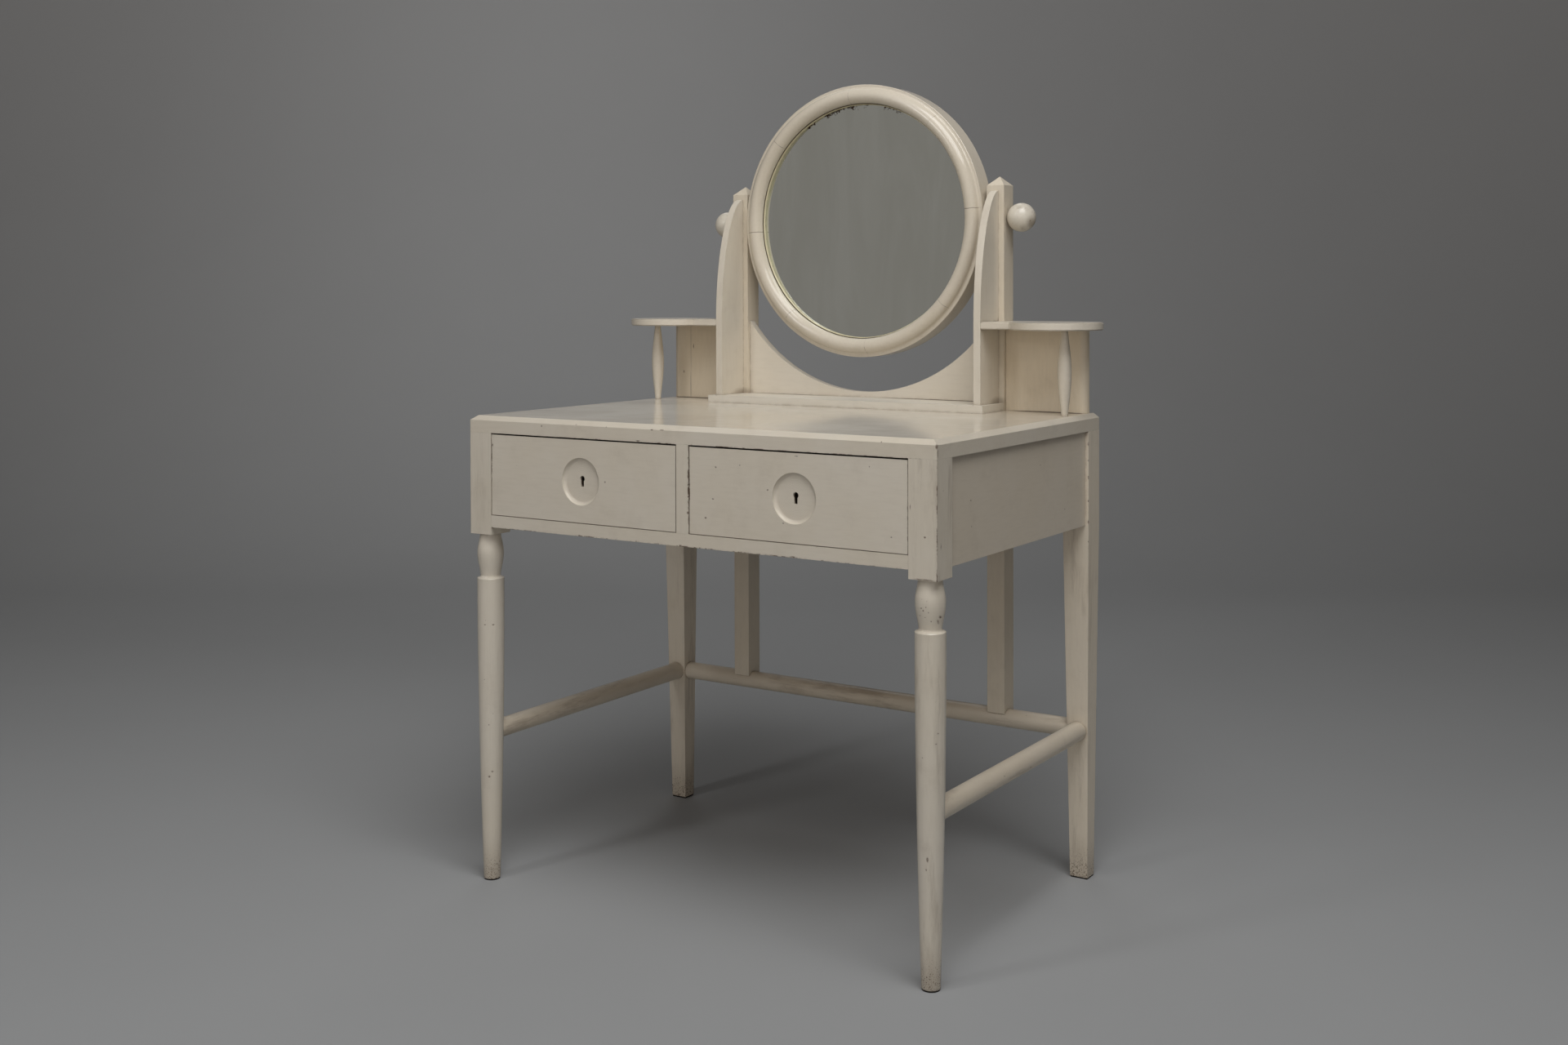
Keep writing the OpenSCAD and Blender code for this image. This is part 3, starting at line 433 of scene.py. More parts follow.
RING_JOINTS = 8
FIRST_JOINT = math.radians(4.2)
CRACK_WANDER = 0.0018
CRACK_HALF = (0.0002, 0.0007)
CRACK_FADE = (0.224, 0.228)
FADED_SHARE = 0.15

# Noise and soft steps that show the cracks best at the ring's left and right, and broken elsewhere

WANDER = (150.0, 3.0)
BREAK = (200.0, 4.0)
BREAK_STEP = (0.42, 0.60, 0.12, 0.55)
SIDEWAYS_STEP = (0.80, 0.98, 0.0, 0.75)


def ring_cracks(g):
    """Cracks across the ring where its eight segments meet."""
    radius, turn = g.polar()
    segment = math.tau / RING_JOINTS
    turned = g.math("DIVIDE", g.math("SUBTRACT", turn, FIRST_JOINT), segment)
    part = g.math("SUBTRACT", g.math("FRACT", g.math("ADD", turned, 0.5)), 0.5)
    off = g.both(part, g.both(radius, segment))
    wander = g.both(g.math("SUBTRACT", g.noise(*WANDER), 0.5), CRACK_WANDER)
    line = g.ramp(g.math("ABSOLUTE", g.math("ADD", off, wander)), *CRACK_HALF, 1.0, 0.0)
    sideways = g.ramp(g.math("ABSOLUTE", g.math("COSINE", turn)), *SIDEWAYS_STEP)
    shown = g.either(sideways, g.ramp(g.noise(*BREAK), *BREAK_STEP))
    return g.both(line, g.both(g.ramp(radius, *CRACK_FADE, 1.0, FADED_SHARE), shown))


# Unpainted wood: noise for growth lines, fibres and dirt, how the lines waver, and soft steps

GROWTH = (85.0, 4.0, 0.6)
FIBRE = (420.0, 3.0, 0.6)
SOIL = (7.0, 4.0, 0.6)
GROWTH_WAVER = 1.2
GROWTH_STEP = (0.36, 0.66)
FIBRE_STEP = (0.4, 0.7, 0.0, 0.22)
SOIL_STEP = (0.45, 0.75, 0.0, 0.35)
WOOD_ROUGH = (0.3, 0.7, 0.66, 0.82)
WOOD_RELIEF = 0.0003


def bare(name, grain):
    """Planed softwood with growth lines along the grain."""
    g = Graph(name)
    along = g.place(scale=[1.0 / stretch for stretch in grain])
    growth = g.noise(*GROWTH, along, distortion=GROWTH_WAVER)
    fibre = g.noise(*FIBRE, along)
    tone = g.mix(g.ramp(growth, *GROWTH_STEP), WOOD, WOOD_DARK)
    tone = g.mix(g.ramp(fibre, *FIBRE_STEP), tone, WOOD_DARK)
    tone = g.mix(g.ramp(g.noise(*SOIL), *SOIL_STEP), tone, WOOD_DIRT)
    g.feed(g.bsdf.inputs["Base Color"], tone)
    g.feed(g.bsdf.inputs["Roughness"], g.ramp(growth, *WOOD_ROUGH))
    g.feed(g.bsdf.inputs["Normal"], g.bump(g.math("ADD", growth, fibre), WOOD_RELIEF))
    return g.material


# Metal: noise for patches of tarnish and for grit, how metallic the patches stay, how much
# rougher they are, and the grit's depth in metres

TARNISH = (70.0, 5.0, 0.65)
TARNISH_STEP = (0.42, 0.66)
TARNISH_METALLIC = 0.55
TARNISH_ROUGHER = 0.28
GRIT = (600.0, 3.0, 0.5)
GRIT_DEPTH = 0.00008


def metal(name, colour, rust, rough):
    """Dull old metal with patches of tarnish."""
    g = Graph(name)
    patch = g.ramp(g.noise(*TARNISH), *TARNISH_STEP)
    g.feed(g.bsdf.inputs["Base Color"], g.mix(patch, colour, rust))
    g.feed(g.bsdf.inputs["Metallic"], g.ramp(patch, 0.0, 1.0, 1.0, TARNISH_METALLIC))
    g.feed(g.bsdf.inputs["Roughness"], g.ramp(patch, 0.0, 1.0, rough, rough + TARNISH_ROUGHER))
    g.feed(g.bsdf.inputs["Normal"], g.bump(g.noise(*GRIT), GRIT_DEPTH))
    return g.material


# Where the silvering is lost: the rim, in metres from the axis, and the angles, round from +X
# towards +Z, between which that loss comes and goes

LOSS_RIM = (0.185, 0.199)
LOSS_FROM = (math.radians(54), math.radians(68))
LOSS_TO = (math.radians(120), math.radians(134))

# The glass: noise for pale streaks drawn out upwards, which are painted reflections, for flakes
# and for patches of them

STREAKS = (13.0, 5.0, 0.6)
STREAK_STRETCH = (1.0, 1.0, 0.22)
STREAK_WAVER = 0.5
STREAK_STEP = (0.35, 0.7)
STREAK_ROUGH = (0.3, 0.7, 0.06, 0.10)
FLAKE = (300.0, 6.0, 0.7)
FLAKE_PATCH = (38.0, 3.0, 0.5)
FLAKE_PATCH_STEP = (0.38, 0.62)
FLAKE_GAIN = 0.30
LOSS_STEP = (0.70, 0.75)
LOSS_ROUGH = 0.3

# Two lone flecks of loss at the upper right, in mm, and how far their outlines wander

PIVOT_MM = PIVOT_Z / MM
LONE_FLECKS = (((130, 0, PIVOT_MM + 152), (3.0, 40, 2.2)),
               ((112, 0, PIVOT_MM + 160), (1.4, 40, 1.8)))
FLECK_WANDER = 4.0


def silvered():
    """Old mirror glass: grey silvering with pale upright streaks painted in as reflections, and a
    lace of dark loss along its upper rim.
    """
    g = Graph("silvered_glass")
    radius, turn = g.polar()
    streaks = g.noise(*STREAKS, g.place(scale=STREAK_STRETCH), distortion=STREAK_WAVER)
    # Pale upright streaks in the silver's colour: painted reflections
    tone = g.mix(g.ramp(streaks, *STREAK_STEP), SILVER_DIM, SILVER)
    top = g.both(g.ramp(turn, *LOSS_FROM), g.ramp(turn, *LOSS_TO, 1.0, 0.0))
    patches = g.both(g.ramp(g.noise(*FLAKE_PATCH), *FLAKE_PATCH_STEP), FLAKE_GAIN)
    upper_rim = g.both(g.both(g.ramp(radius, *LOSS_RIM), top), patches)
    loss = g.ramp(g.math("ADD", g.noise(*FLAKE), upper_rim), *LOSS_STEP)
    loss = g.either(loss, g.spots(LONE_FLECKS, ragged=FLECK_WANDER))
    g.feed(g.bsdf.inputs["Base Color"], g.mix(loss, tone, SILVER_LOST))
    g.bsdf.inputs["Metallic"].default_value = 1.0
    g.feed(g.bsdf.inputs["Roughness"],
           g.math("ADD", g.ramp(streaks, *STREAK_ROUGH), g.both(loss, LOSS_ROUGH)))
    return g.material


# Places for the marks, in mm, read from the model

FRONT_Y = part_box("front_rail")[0].y / MM
DRAWER_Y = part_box("drawer_front_left")[0].y / MM
SIDE_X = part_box("front_leg_right")[1].x / MM
PANEL_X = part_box("side_panel_right")[1].x / MM
RAIL_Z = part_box("front_rail")[0].z / MM
TABLE_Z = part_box("top_board")[1].z / MM
NICHE_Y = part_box("niche_board_left")[0].y / MM
ARCH_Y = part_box("arched_board")[0].y / MM
PLINTH_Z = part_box("plinth")[1].z / MM
POST_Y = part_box("post_left")[0].y / MM
KEY_X = sum(corner.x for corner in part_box("drawer_front_right")) / 2 / MM
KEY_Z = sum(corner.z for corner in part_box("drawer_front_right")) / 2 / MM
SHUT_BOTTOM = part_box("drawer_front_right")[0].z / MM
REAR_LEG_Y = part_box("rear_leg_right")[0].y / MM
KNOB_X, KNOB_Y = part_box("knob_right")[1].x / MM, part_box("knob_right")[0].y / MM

# Half the width of a front leg's block, and the axis of the right leg's turning
HALF_LEG = 21.75
VASE_X, VASE_Y = SIDE_X - HALF_LEG, FRONT_Y + HALF_LEG

# How far a mark reaches in front of a flat face and behind it, and the same for a turned one
MARK_DEPTH = 3.0
TURNED_DEPTH = 8

# How far in front of a leg's axis the marks on its vase turning and on its lower part lie
VASE_OUT = 19
LEG_OUT = 17


def flat(x, y, z, wide, high):
    """A mark on a face that looks along Y, with its half-width and half-height."""
    return ((x, y, z), (wide, MARK_DEPTH, high))


# Pits, dents and scratches on the drawer fronts
drawer_marks = [flat(x, DRAWER_Y, z, wide, high) for x, z, wide, high in (
    (-144, 650, 1.6, 1.2), (59, 684, 1.5, 1.3), (101, 689, 1.0, 0.8), (54, 638, 1.6, 0.9),
    (41, 610, 1.7, 1.3), (347, 606, 1.2, 1.0), (196, 707, 2.6, 0.6), (313, 699, 0.9, 1.0),
    (148, 657, 1.3, 1.1), (174, 612, 1.4, 0.8), (180, 633, 0.9, 0.9), (-370, 695, 1.0, 2.0),
    (196, 634, 0.6, 0.7), (196, 630, 0.5, 0.6), (196, 622, 0.6, 0.7), (205, 650, 1.0, 2.0),
    (206, 646, 0.7, 1.6), (-392, 600, 9.0, 0.7))]

# Painted shade in the gaps under the drawer fronts and beside the divider, torn ends, and stains
# at the keyholes
drawer_gap_shade = [flat(side * KEY_X, DRAWER_Y, SHUT_BOTTOM, 320, 1.0) for side in (-1, 1)]
drawer_gap_shade += [flat(x, DRAWER_Y, 640, 0.7, 150) for x in (-12, 12)]
drawer_edges = [flat(x, DRAWER_Y, z, wide, high) for x, z, wide, high in (
    (-372, 672, 1.0, 36), (12.4, 650, 1.0, 60), (371.5, 640, 0.8, 60))]
keyhole_stains = [flat(-185, DRAWER_Y, 648, 11, 12), flat(197, DRAWER_Y, 652, 6, 12)]

# Chips along the lower edge of the rail, from knees and brooms, and that edge's torn paint
rail_marks = [flat(x, FRONT_Y, RAIL_Z + lift, wide, high) for x, lift, wide, high in (
    (-194, 0.6, 2.0, 1.6), (-175, 0, 1.5, 1.6), (-85, 0.6, 1.6, 1.4), (-4, 1.0, 2.4, 1.6),
    (42, 0, 1.8, 1.3), (99, 0, 1.5, 1.2), (239, 0, 2.2, 1.3), (263, -0.6, 2.6, 1.5),
    (190, 0.8, 4.5, 1.5))]
rail_edge = [((0, FRONT_Y, RAIL_Z), (380, 1.5, 1.3))]

# The divider's right edge, where the drawer rubs, and a chip in it
divider_edge = [flat(10.8, FRONT_Y, 655, 1.3, 70)]
divider_marks = [flat(10.0, FRONT_Y, 615, 1.6, 2.0)]

# Knocks on the table top's front edge and its bruised right corner, and torn paint below
top_marks = [flat(x, FRONT_Y, z, wide, high) for x, z, wide, high in (
    (-81, 715, 3.5, 1.0), (-55, 732.5, 2.2, 1.0), (-37, 733, 3.2, 0.9), (-268, 729, 1.2, 1.2),
    (-141, 733, 1.0, 0.8), (332, 733.5, 1.0, 0.9), (-200, 734, 1.6, 0.7))]
top_marks += [((SIDE_X - 1, FRONT_Y + 1, 731), (1.8, 2.2, 3.4)),
              ((SIDE_X, FRONT_Y + 2, 722), (1.2, 1.5, 5.0)),
              ((SIDE_X - 4, FRONT_Y + 4, TABLE_Z - 1), (3.0, 2.0, 1.2))]
top_edge = [((60, FRONT_Y, 713.6), (330, 1.2, 0.9))]

# The torn outer edge of the right leg's block, and marks on its faces
block_edge = [((SIDE_X, FRONT_Y, 632), (1.1, 1.3, 110)),
              ((SIDE_X, FRONT_Y, 560), (1.6, 1.8, 12))]
block_marks = [flat(398, FRONT_Y, 610, 1.6, 1.2), flat(376, FRONT_Y, 649, 0.5, 3.5),
               flat(397, FRONT_Y, 553.5, 14, 0.8), ((SIDE_X, -269, 598), (2, 0.9, 4)),
               ((SIDE_X, -262, 671), (2, 0.8, 0.8))]

# Marks on the right leg's vase turning
vase_marks = [
    ((VASE_X + x, VASE_Y - VASE_OUT, z), (wide, TURNED_DEPTH, high)) for x, z, wide, high in (
        (-3, 515, 0.9, 0.9), (0, 512, 1.0, 1.2), (4, 517, 0.7, 0.8), (7, 510, 0.6, 0.9),
        (-6, 505, 0.7, 0.6), (2, 503, 0.6, 0.6), (9, 498, 0.6, 1.0), (-2, 527, 0.6, 0.5),
        (5, 525, 0.5, 0.6))]
vase_marks += [((VASE_X + 16, VASE_Y - 12, 496), (1.0, 6, 3.5)),
               ((VASE_X + 18, VASE_Y - 8, 503), (0.8, 6, 2.0))]


def on_leg(x, z, wide, high):
    """A chip on the front of a front leg's round lower part."""
    return ((x, VASE_Y - LEG_OUT, z), (wide, TURNED_DEPTH, high))


leg_left_marks = [on_leg(*chip) for chip in (
    (-389, 409, 1.6, 0.8), (-378, 409, 1.3, 1.1), (-382, 175, 1.3, 1.5), (-386, 167, 1.5, 1.6),
    (-374, 115, 1.1, 3.2), (-375, 192, 0.8, 1.0), (-385, 250, 0.7, 0.9), (-391, 322, 0.7, 0.7))]
leg_right_marks = [on_leg(*chip) for chip in (
    (412, 349, 1.0, 1.2), (393, 316, 0.8, 0.6), (410, 335, 0.8, 0.8), (399, 180, 1.4, 3.2),
    (397, 166, 0.8, 1.4))]

# Chips on the right stretcher and on the right side panel
rung_marks = [((VASE_X + 8, 30, 231), (8, 2.0, 2.0)), ((VASE_X + 8, -60, 240), (8, 1.5, 1.2))]
side_marks = [((PANEL_X, y, z), (3, wide, high)) for y, z, wide, high in (
    (-170, 648, 1.2, 1.0), (-168, 612, 1.0, 1.1), (60, 676, 1.1, 0.8), (150, 600, 0.9, 1.2))]

# The right rear leg's rubbed arris, and brown chips along it
rear_leg_edge = [((SIDE_X, REAR_LEG_Y + 5.5, 75), (1.4, 1.6, 40)),
                 ((SIDE_X, REAR_LEG_Y + 1, 480), (1.0, 1.2, 60))]
rear_leg_marks = [((SIDE_X, REAR_LEG_Y, z), (1.4, 1.4, high)) for z, high in (
    (694, 3.0), (668, 1.6), (641, 2.4), (604, 1.4), (571, 3.2), (540, 1.5), (322, 3.0),
    (254, 2.2))]

# Knocks on the right knob's outer end, and a darker patch low about them
knob_marks = [((KNOB_X - 3, KNOB_Y + 13, PIVOT_MM + z), (1.3, 1.3, 1.0)) for z in (-6, -12)]
knob_dark_patch = [((KNOB_X - 4, KNOB_Y + 22, PIVOT_MM - 8), (5, 14, 9))]

# A split and two knocks in the left niche board, open joints under the niche boards and the
# arched board, and dirt where the posts meet the plinth
niche_marks = [flat(-382, NICHE_Y, 787, 1.2, 2.4), flat(-360, NICHE_Y, 834, 0.8, 4.0)]
niche_lines = [flat(-366.5, NICHE_Y, TABLE_Z + 20, 0.45, 26),
               flat(-366, NICHE_Y, TABLE_Z + 95, 0.25, 50)]
niche_lines += [flat(side * 345, NICHE_Y, TABLE_Z, 64, 1.1) for side in (-1, 1)]
arch_lines = [flat(150, ARCH_Y, PLINTH_Z, 110, 0.9), flat(-150, ARCH_Y, PLINTH_Z, 70, 0.6)]
post_stains = [((side * 250, POST_Y - 8, PLINTH_Z + 2), (22, 22, 7)) for side in (-1, 1)]


# Soft steps on how far a face looks upwards, for tops and for undersides, and how far below the
# divider's top, in metres, a drawer front's top edge starts to turn bare and near black with
# painted shade, and is fully so

TOP_STEP = (0.7, 0.9)
UNDERSIDE_STEP = (-0.9, -0.7, 1.0, 0.0)
BARE_SHADE_FROM, BARE_SHADE_TO = 0.006, 0.004


def slip_gap_shade(g):
    """Painted shade: darkens the open groove between the slip and the ring."""
    middle, soft, darkness = SLIP_IN + SLIP_EDGE, 0.1, 0.85
    return g.ramp(g.polar()[0], (middle - soft) * MM, (middle + soft) * MM, 0.0, darkness)


def drawer_gap_and_keyhole_shade(g):
    """A drawer front's top edge and the inside of its keyhole: bare, and near black as painted
    shade.
    """
    top = g.both(g.ramp(g.facing()[2], *TOP_STEP),
                 g.ramp(g.axes()[2], SHUT_Z - BARE_SHADE_FROM, SHUT_Z - BARE_SHADE_TO))
    holes = [((side * KEY_X, DRAWER_Y + 13, KEY_Z), (6, 7.7, 11)) for side in (-1, 1)]
    return g.either(top, g.spots(holes, *HOLE_OUTLINE))


# The dishes' ridges: waves in radians per metre, their height as a part of the relief, how far
# they wander, and the radii between which they fade, in metres

RIDGE_WAVES = 2900.0
RIDGE_PART = 0.22
RIDGE_NOISE = 30.0
RIDGE_WANDER = 0.002
RIDGE_FADE = (0.030, 0.034)


def dish_ridges(g):
    """Faint turned ridges in the round dishes about the keyholes."""
    x, _, z = g.axes()
    across = g.math("SUBTRACT", g.math("ABSOLUTE", x), KEY_X * MM)
    radius = g.length(across, g.math("SUBTRACT", z, KEY_Z * MM))
    uneven = g.math("ADD", radius, g.both(g.noise(RIDGE_NOISE), RIDGE_WANDER))
    wave = g.math("SINE", g.both(uneven, RIDGE_WAVES))
    return g.both(g.both(wave, RIDGE_PART), g.ramp(radius, *RIDGE_FADE, 1.0, 0.0))


def underside(g):
    """The table top's underside: bare, and near black as painted shade."""
    return g.ramp(g.facing()[2], *UNDERSIDE_STEP)


def assign(material, *names):
    for name in names:
        for entry in nodes[name].material_slots:
            entry.link = "OBJECT"
            entry.material = material


def paint(coat, *names, **settings):
    """Gives these pieces one coat of the cream paint."""
    assign(cream("cream_" + coat, **settings), *names)


# How far the brush marks are drawn out along x, y and z
LONG_X = (8, 1, 1)
LONG_TOP = (10, 1, 1)
LONG_Y = (1, 8, 1)
LONG_Z = (1, 1, 8)
LONG_RUNG = (8, 8, 1)
TURNED = (1, 1, 1)

# How far the growth lines of unpainted wood are drawn out
GROWN_X = (14, 1, 1)
GROWN_Y = (1, 14, 1)

paint("rail", "front_rail", grain=LONG_X, chips=1.5, marks=rail_marks, ragged=rail_edge)
paint("drawer", "drawer_front_left", "drawer_front_right", grain=LONG_X, seed=0.17, chips=0.6,
      marks=drawer_marks, stains=keyhole_stains, ragged=drawer_edges, unpainted=drawer_gap_and_keyhole_shade,
      lines=drawer_gap_shade, ridges=dish_ridges)
paint("divider", "drawer_divider", grain=LONG_Z, seed=0.23, marks=divider_marks,
      ragged=divider_edge)
paint("top", "top_board", grain=LONG_TOP, roughness=0.12, seed=0.57, relief=0.45,
      marks=top_marks, ragged=top_edge, unpainted=underside)
paint("shelf", "side_shelf_left", "side_shelf_right", grain=LONG_X, roughness=0.20, seed=0.41,
      relief=0.6)
paint("board", "arched_board", grain=LONG_X, seed=0.47, lines=arch_lines)
# The plinth's coat is lighter and cooler: painted light from above on its top
paint("plinth", "plinth", grain=LONG_X, seed=0.52, tint=(1.04, 1.06, 1.09), pits=0.03)
paint("back", "case_back", grain=LONG_X, seed=0.77, pits=0.05, smear=0.4)
# The niche boards' coat is lighter and warmer: painted warm bounce light in the shade under the
# shelves, with less painted shade in their corners
paint("niche", "niche_board_left", "niche_board_right", grain=LONG_Z, seed=0.66,
      tint=(1.10, 1.05, 0.97), crevices=0.4, marks=niche_marks, lines=niche_lines)
# The posts' coat is warmer: yellowed paint, and painted warm bounce light, with less painted shade
# in their corners
paint("post", "post_left", "post_right", grain=LONG_Z, seed=0.31, tint=(1.0, 0.98, 0.94),
      crevices=0.3, stains=post_stains)
paint("fin", "bracket_left", "bracket_right", grain=LONG_Z, seed=0.36, stains=post_stains)
paint("front_leg_left", "front_leg_left", grain=LONG_Z, roughness=0.17, seed=0.83, pits=0.05,
      smear=0.12, marks=leg_left_marks, foot=True)
paint("front_leg_right", "front_leg_right", grain=LONG_Z, roughness=0.17, seed=0.89, pits=0.05,
      smear=0.35, marks=block_marks + vase_marks + leg_right_marks, ragged=block_edge, foot=True)
# The rear legs' coat is lighter: painted light
paint("rear_leg", "rear_leg_left", "rear_leg_right", grain=LONG_Z, seed=0.95, chips=1.3,
      tint=(1.05, 1.03, 1.0), pits=0.045, smear=0.35, marks=rear_leg_marks,
      ragged=rear_leg_edge, foot=True)
# The side panels' coat is darker and cooler: painted shade on the sides
paint("panel", "side_panel_left", "side_panel_right", grain=LONG_Y, roughness=0.36, seed=1.21,
      relief=0.2, tint=(0.97, 0.95, 0.93), marks=side_marks)
# The stretchers' coat is darker and warmer: painted warm shade under the table
paint("rung", "stretcher_left", "stretcher_right", "stretcher_rear", grain=LONG_RUNG, seed=1.43,
      tint=(0.97, 0.94, 0.90), pits=0.06, smear=0.55, marks=rung_marks)
paint("ring", "mirror_frame", grain=TURNED, roughness=0.12, chips=0.2, seed=1.7, relief=0.5,
      tint=(0.955, 0.945, 0.925), cracks=ring_cracks)
paint("turned", "spindle_left", "spindle_right", grain=TURNED, roughness=0.15, chips=0.3,
      seed=2.1, relief=0.6)
paint("knob", "knob_left", "knob_right", "pivot_washers", grain=TURNED, roughness=0.15,
      chips=0.3, seed=2.4, relief=0.6, tint=(0.98, 0.99, 0.99), pits=0.08, smear=0.45,
      marks=knob_marks, stains=knob_dark_patch)

assign(bare("bare_wood", GROWN_Y), "runner_left", "runner_middle", "runner_right",
       "guide_left", "guide_middle", "guide_right", "drawer_side_left_outer",
       "drawer_side_left_inner", "drawer_side_right_outer", "drawer_side_right_inner",
       "drawer_bottom_left", "drawer_bottom_right")
assign(bare("bare_wood_across", GROWN_X), "drawer_stops", "drawer_back_left",
       "drawer_back_right", "mirror_backboard")
assign(metal("steel", STEEL, STEEL_RUST, rough=0.42), "post_screws", "mirror_pins", "pivot_rods",
       "lock_bolt_left", "lock_bolt_right")
assign(metal("lock_iron", IRON, IRON_RUST, rough=0.5), "lock_left", "lock_right")
assign(metal("glide", PAD, PAD_RUST, rough=0.5), "foot_glides")


# The mirror's slip and its glass, turned about the mirror's axis. The steps of a whole turn and of
# a rounded arris, the distance at which points merge, and the angle from which an edge is sharp:

TURN_STEPS = 192
ARC_STEPS = 4
MERGE = 1e-7
SHARP = math.radians(35)


def turned_piece(name, outline, material):
    """A closed outline of (radius, y) points in mm, carried once round the mirror's axis."""
    verts, faces = [], []
    count = len(outline)
    for i in range(TURN_STEPS):
        a = 2 * math.pi * i / TURN_STEPS
        for radius, y in outline:
            verts.append((radius * MM * math.cos(a), y * MM, PIVOT_Z + radius * MM * math.sin(a)))
    for i in range(TURN_STEPS):
        here, after = i * count, (i + 1) % TURN_STEPS * count
        for k in range(count):
            n = (k + 1) % count
            faces.append((here + k, here + n, after + n, after + k))
    mesh = bpy.data.meshes.new(name)
    mesh.from_pydata(verts, [], faces)
    work = bmesh.new()
    work.from_mesh(mesh)
    bmesh.ops.remove_doubles(work, verts=work.verts, dist=MERGE)
    bmesh.ops.dissolve_degenerate(work, dist=MERGE, edges=work.edges)
    bmesh.ops.recalc_face_normals(work, faces=work.faces)
    work.to_mesh(mesh)
    work.free()
    mesh.shade_smooth()
    mesh.set_sharp_from_angle(angle=SHARP)
    mesh.materials.append(material)
    made = bpy.data.objects.new(name, mesh)
    bpy.context.collection.objects.link(made)
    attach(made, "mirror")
    return made


def arc(radius, y, size, first, last):
    """Points of a rounded arris of this size about a centre, from one angle to another."""
    turns = [math.radians(first + (last - first) * i / ARC_STEPS) for i in range(ARC_STEPS + 1)]
    return [(radius + size * math.cos(t), y + size * math.sin(t)) for t in turns]


# The slip's and the glass's sizes in mm. The slip has a narrow flat edge with rounded arrises,
# and behind it a step that runs out to the ring.

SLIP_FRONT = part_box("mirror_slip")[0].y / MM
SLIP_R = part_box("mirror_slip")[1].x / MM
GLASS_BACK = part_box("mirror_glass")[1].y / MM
SLIP_WIDE = 6.0
SLIP_IN = SLIP_R - SLIP_WIDE
SLIP_EDGE = 1.6
SLIP_STEP = 2.6
SLIP_ARRIS = 0.6
ARRIS_Y = SLIP_FRONT + SLIP_ARRIS
SLIP_DEEP = 5.2
GLASS_FRONT = SLIP_FRONT + SLIP_DEEP
GLASS_BEVEL = 0.8

slip_outline = arc(SLIP_IN + SLIP_ARRIS, ARRIS_Y, SLIP_ARRIS, 180, 270)
slip_outline += arc(SLIP_IN + SLIP_EDGE - SLIP_ARRIS, ARRIS_Y, SLIP_ARRIS, 270, 360)
slip_outline += [(SLIP_IN + SLIP_EDGE, SLIP_FRONT + SLIP_STEP), (SLIP_R, SLIP_FRONT + SLIP_STEP),
                 (SLIP_R, GLASS_FRONT), (SLIP_IN, GLASS_FRONT)]
slip = turned_piece("slip", slip_outline,
                    cream("cream_slip", grain=TURNED, roughness=0.30, chips=0.3, seed=2.6,
                          tint=(0.99, 0.99, 0.80), cracks=slip_gap_shade))
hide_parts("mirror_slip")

glass_outline = [(0, GLASS_FRONT), (SLIP_R - GLASS_BEVEL, GLASS_FRONT),
                 (SLIP_R, GLASS_FRONT + GLASS_BEVEL), (SLIP_R, GLASS_BACK), (0, GLASS_BACK)]
glass = turned_piece("glass", glass_outline, silvered())
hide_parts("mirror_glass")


# Stage: a pale sweep, soft lights and the camera. Lengths are in metres from here on.

# The camera's place, its tilt up from straight down, its roll, and its turn to the left
CAMERA_AT = (1.44662, -2.23979, 0.94261)
CAMERA_TILT = math.radians(90 - 0.84)
CAMERA_ROLL = math.radians(0.15)
CAMERA_TURN = math.radians(32.93)

# The sweep's half-width, its front and back ends, its height, the curve's radius and steps, its
# two greys with the noise between them, and its roughness
SWEEP_HALF = 9.0
SWEEP_FRONT = -7.0
SWEEP_BACK = 5.0
SWEEP_RISE = 6.0
SWEEP_CURVE = 2.5
SWEEP_STEPS = 24
SWEEP_DARK = (0.373, 0.379, 0.383, 1)
SWEEP_LIGHT = (0.388, 0.394, 0.398, 1)
SWEEP_CLOUDS = (3.0, 3.0)
SWEEP_ROUGH = 0.9


def sweep():
    """A floor that curves up into a backdrop, squared up with the camera."""
    outline = [(SWEEP_FRONT, 0.0)]
    for i in range(SWEEP_STEPS + 1):
        a = math.pi / 2 * i / SWEEP_STEPS
        outline.append((SWEEP_BACK - SWEEP_CURVE + SWEEP_CURVE * math.sin(a),
                        SWEEP_CURVE - SWEEP_CURVE * math.cos(a)))
    outline.append((SWEEP_BACK, SWEEP_RISE))
    turn = Euler((0, 0, CAMERA_TURN)).to_matrix()
    verts = [turn @ Vector((x, y, z)) for y, z in outline for x in (-SWEEP_HALF, SWEEP_HALF)]
    faces = [(2 * i, 2 * i + 1, 2 * i + 3, 2 * i + 2) for i in range(len(outline) - 1)]
    mesh = bpy.data.meshes.new("sweep")
    mesh.from_pydata(verts, [], faces)
    mesh.shade_smooth()
    made = bpy.data.objects.new("sweep", mesh)
    bpy.context.collection.objects.link(made)
    g = Graph("sweep_grey")
    g.feed(g.bsdf.inputs["Base Color"], g.mix(g.noise(*SWEEP_CLOUDS), SWEEP_DARK, SWEEP_LIGHT))
    g.bsdf.inputs["Roughness"].default_value = SWEEP_ROUGH
    mesh.materials.append(g.material)
    return made


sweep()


def softbox(name, at, size, power, aim):
    """A rectangular area light."""
    data = bpy.data.lights.new(name, "AREA")
    data.shape = "RECTANGLE"
    data.size, data.size_y = size
    data.energy = power
    made = bpy.data.objects.new(name, data)
    bpy.context.collection.objects.link(made)
    made.location = at
    made.rotation_euler = (Vector(aim) - Vector(at)).to_track_quat("-Z", "Y").to_euler()


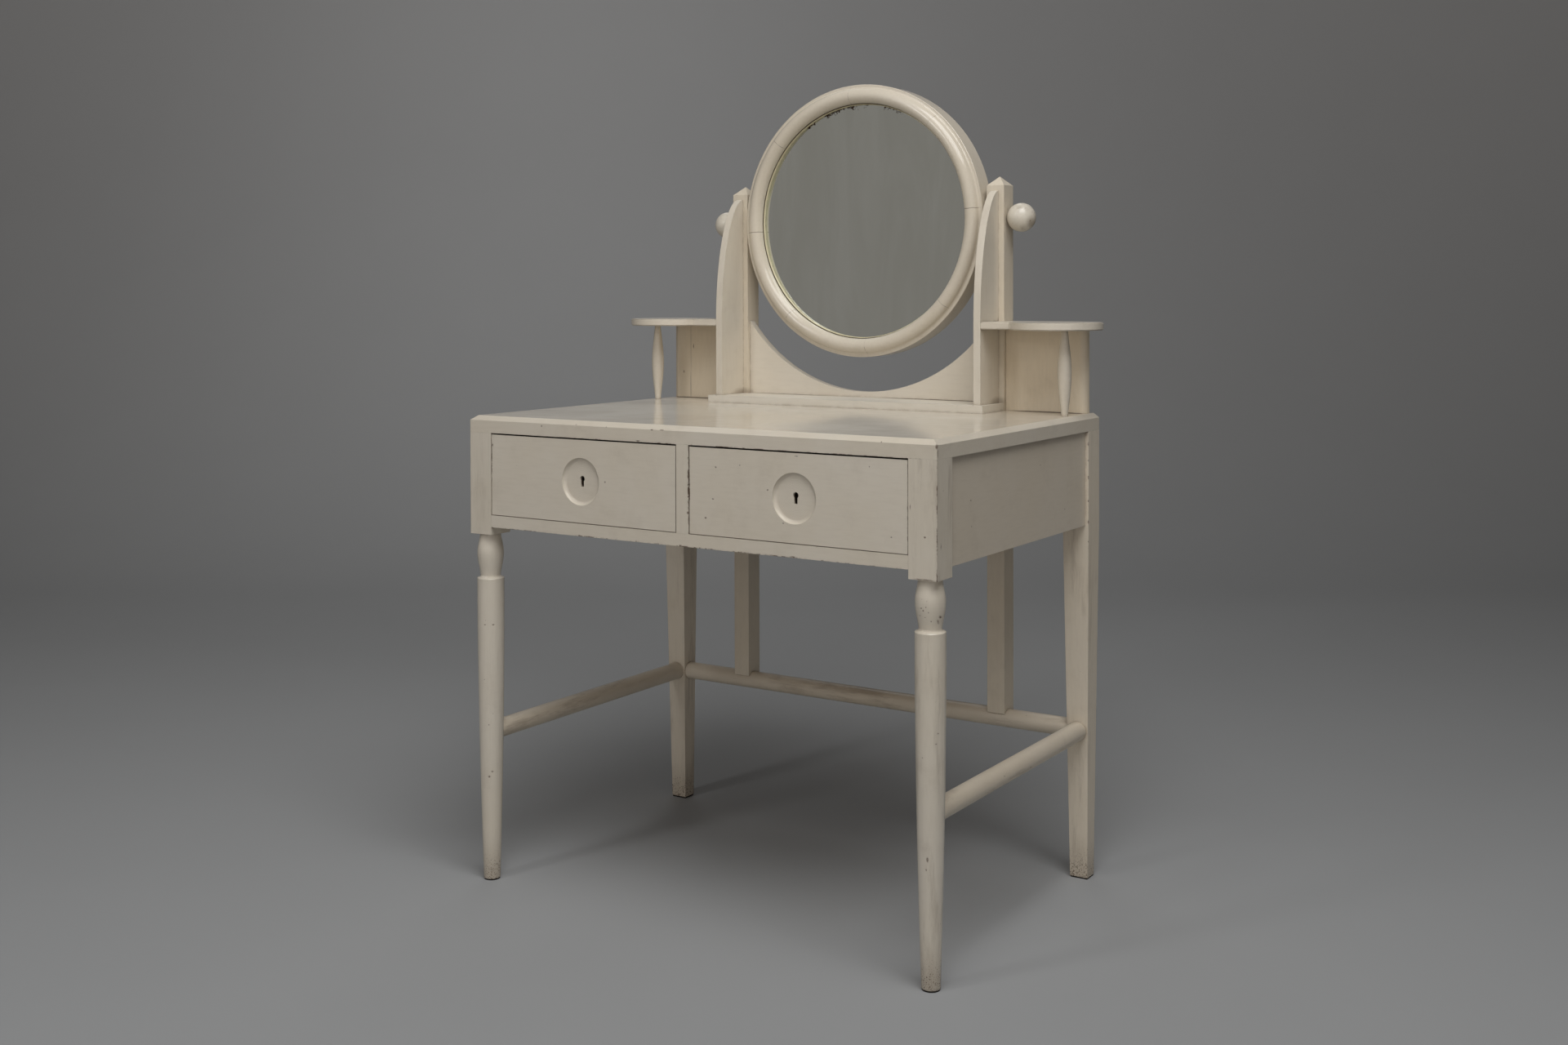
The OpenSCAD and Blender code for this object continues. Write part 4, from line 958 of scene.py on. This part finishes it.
# Each light's place, size, power in watts and the point that it looks at
MIDDLE = (0, 0, 0.7)
for light in (("key", (1.1, -1.15, 3.2), (2.0, 2.0), 61.5, (-0.6, 0, 0.3)),
              ("side", (2.7, -1.5, 1.3), (0.2, 1.5), 0.9, (0, 0, 0.6)),
              ("overhead", (0.2, -1.7, 3.2), (1.6, 1.6), 4.2, MIDDLE),
              ("fill", (-1.0, -2.8, 2.4), (0.4, 1.5), 10.5, MIDDLE),
              ("rear", (-1.6, 2.2, 3.6), (1.6, 1.6), 8, MIDDLE),
              ("backdrop", (-2.6, 2.0, 2.3), (1.8, 1.8), 6.3, (-3.6, 4.4, 0.7))):
    softbox(*light)


# The world's colour and its strength: at the wall, away from it or above it, and to the left
WORLD_COLOUR = (0.64, 0.596, 0.563, 1)
WORLD_STRENGTH = 1.12
AMBIENT = 0.02
LEFT = 0.4

# For each axis of a direction: where the world is dim, where it is lit, and how dim it gets
WALL = ((0, -0.38, 0.1, LEFT), (1, -0.2, -0.6, AMBIENT), (2, 0.55, 0.25, AMBIENT))


def studio():
    """A dark room with a low, wide, soft warm-grey wall in front of the table, dimmer at left."""
    world = bpy.data.worlds.new("studio")
    world.use_nodes = True
    tree = world.node_tree
    place = tree.nodes.new("ShaderNodeTexCoord").outputs["Generated"]
    split = tree.nodes.new("ShaderNodeSeparateXYZ")
    tree.links.new(place, split.inputs[0])
    level = None
    for axis, dim, lit, least in WALL:
        part = tree.nodes.new("ShaderNodeMapRange")
        part.interpolation_type = "SMOOTHSTEP"
        tree.links.new(split.outputs[axis], part.inputs[0])
        for socket, value in zip(part.inputs[1:5], (dim, lit, least, WORLD_STRENGTH)):
            socket.default_value = value
        if level:
            tree.links.new(level, part.inputs[4])
        level = part.outputs[0]
    back = tree.nodes["Background"]
    back.inputs["Color"].default_value = WORLD_COLOUR
    tree.links.new(level, back.inputs["Strength"])
    return world


bpy.context.scene.world = studio()
bpy.context.scene.view_settings.view_transform = "Standard"

# The photo's size, and in its pixels the focal length and the optical centre's height
IMAGE_W, IMAGE_H = 1920, 1280
FOCAL_PX, CENTRE_Y = 2053.83, 381.19
SENSOR_MM = 36.0

camera_data = bpy.data.cameras.new("camera")
camera_data.sensor_width = SENSOR_MM
camera_data.lens = FOCAL_PX / IMAGE_W * camera_data.sensor_width
camera_data.shift_y = (CENTRE_Y - IMAGE_H / 2) / IMAGE_W
camera = bpy.data.objects.new("camera", camera_data)
bpy.context.collection.objects.link(camera)
camera.location = CAMERA_AT
camera.rotation_euler = (CAMERA_TILT, CAMERA_ROLL, CAMERA_TURN)
bpy.context.scene.camera = camera
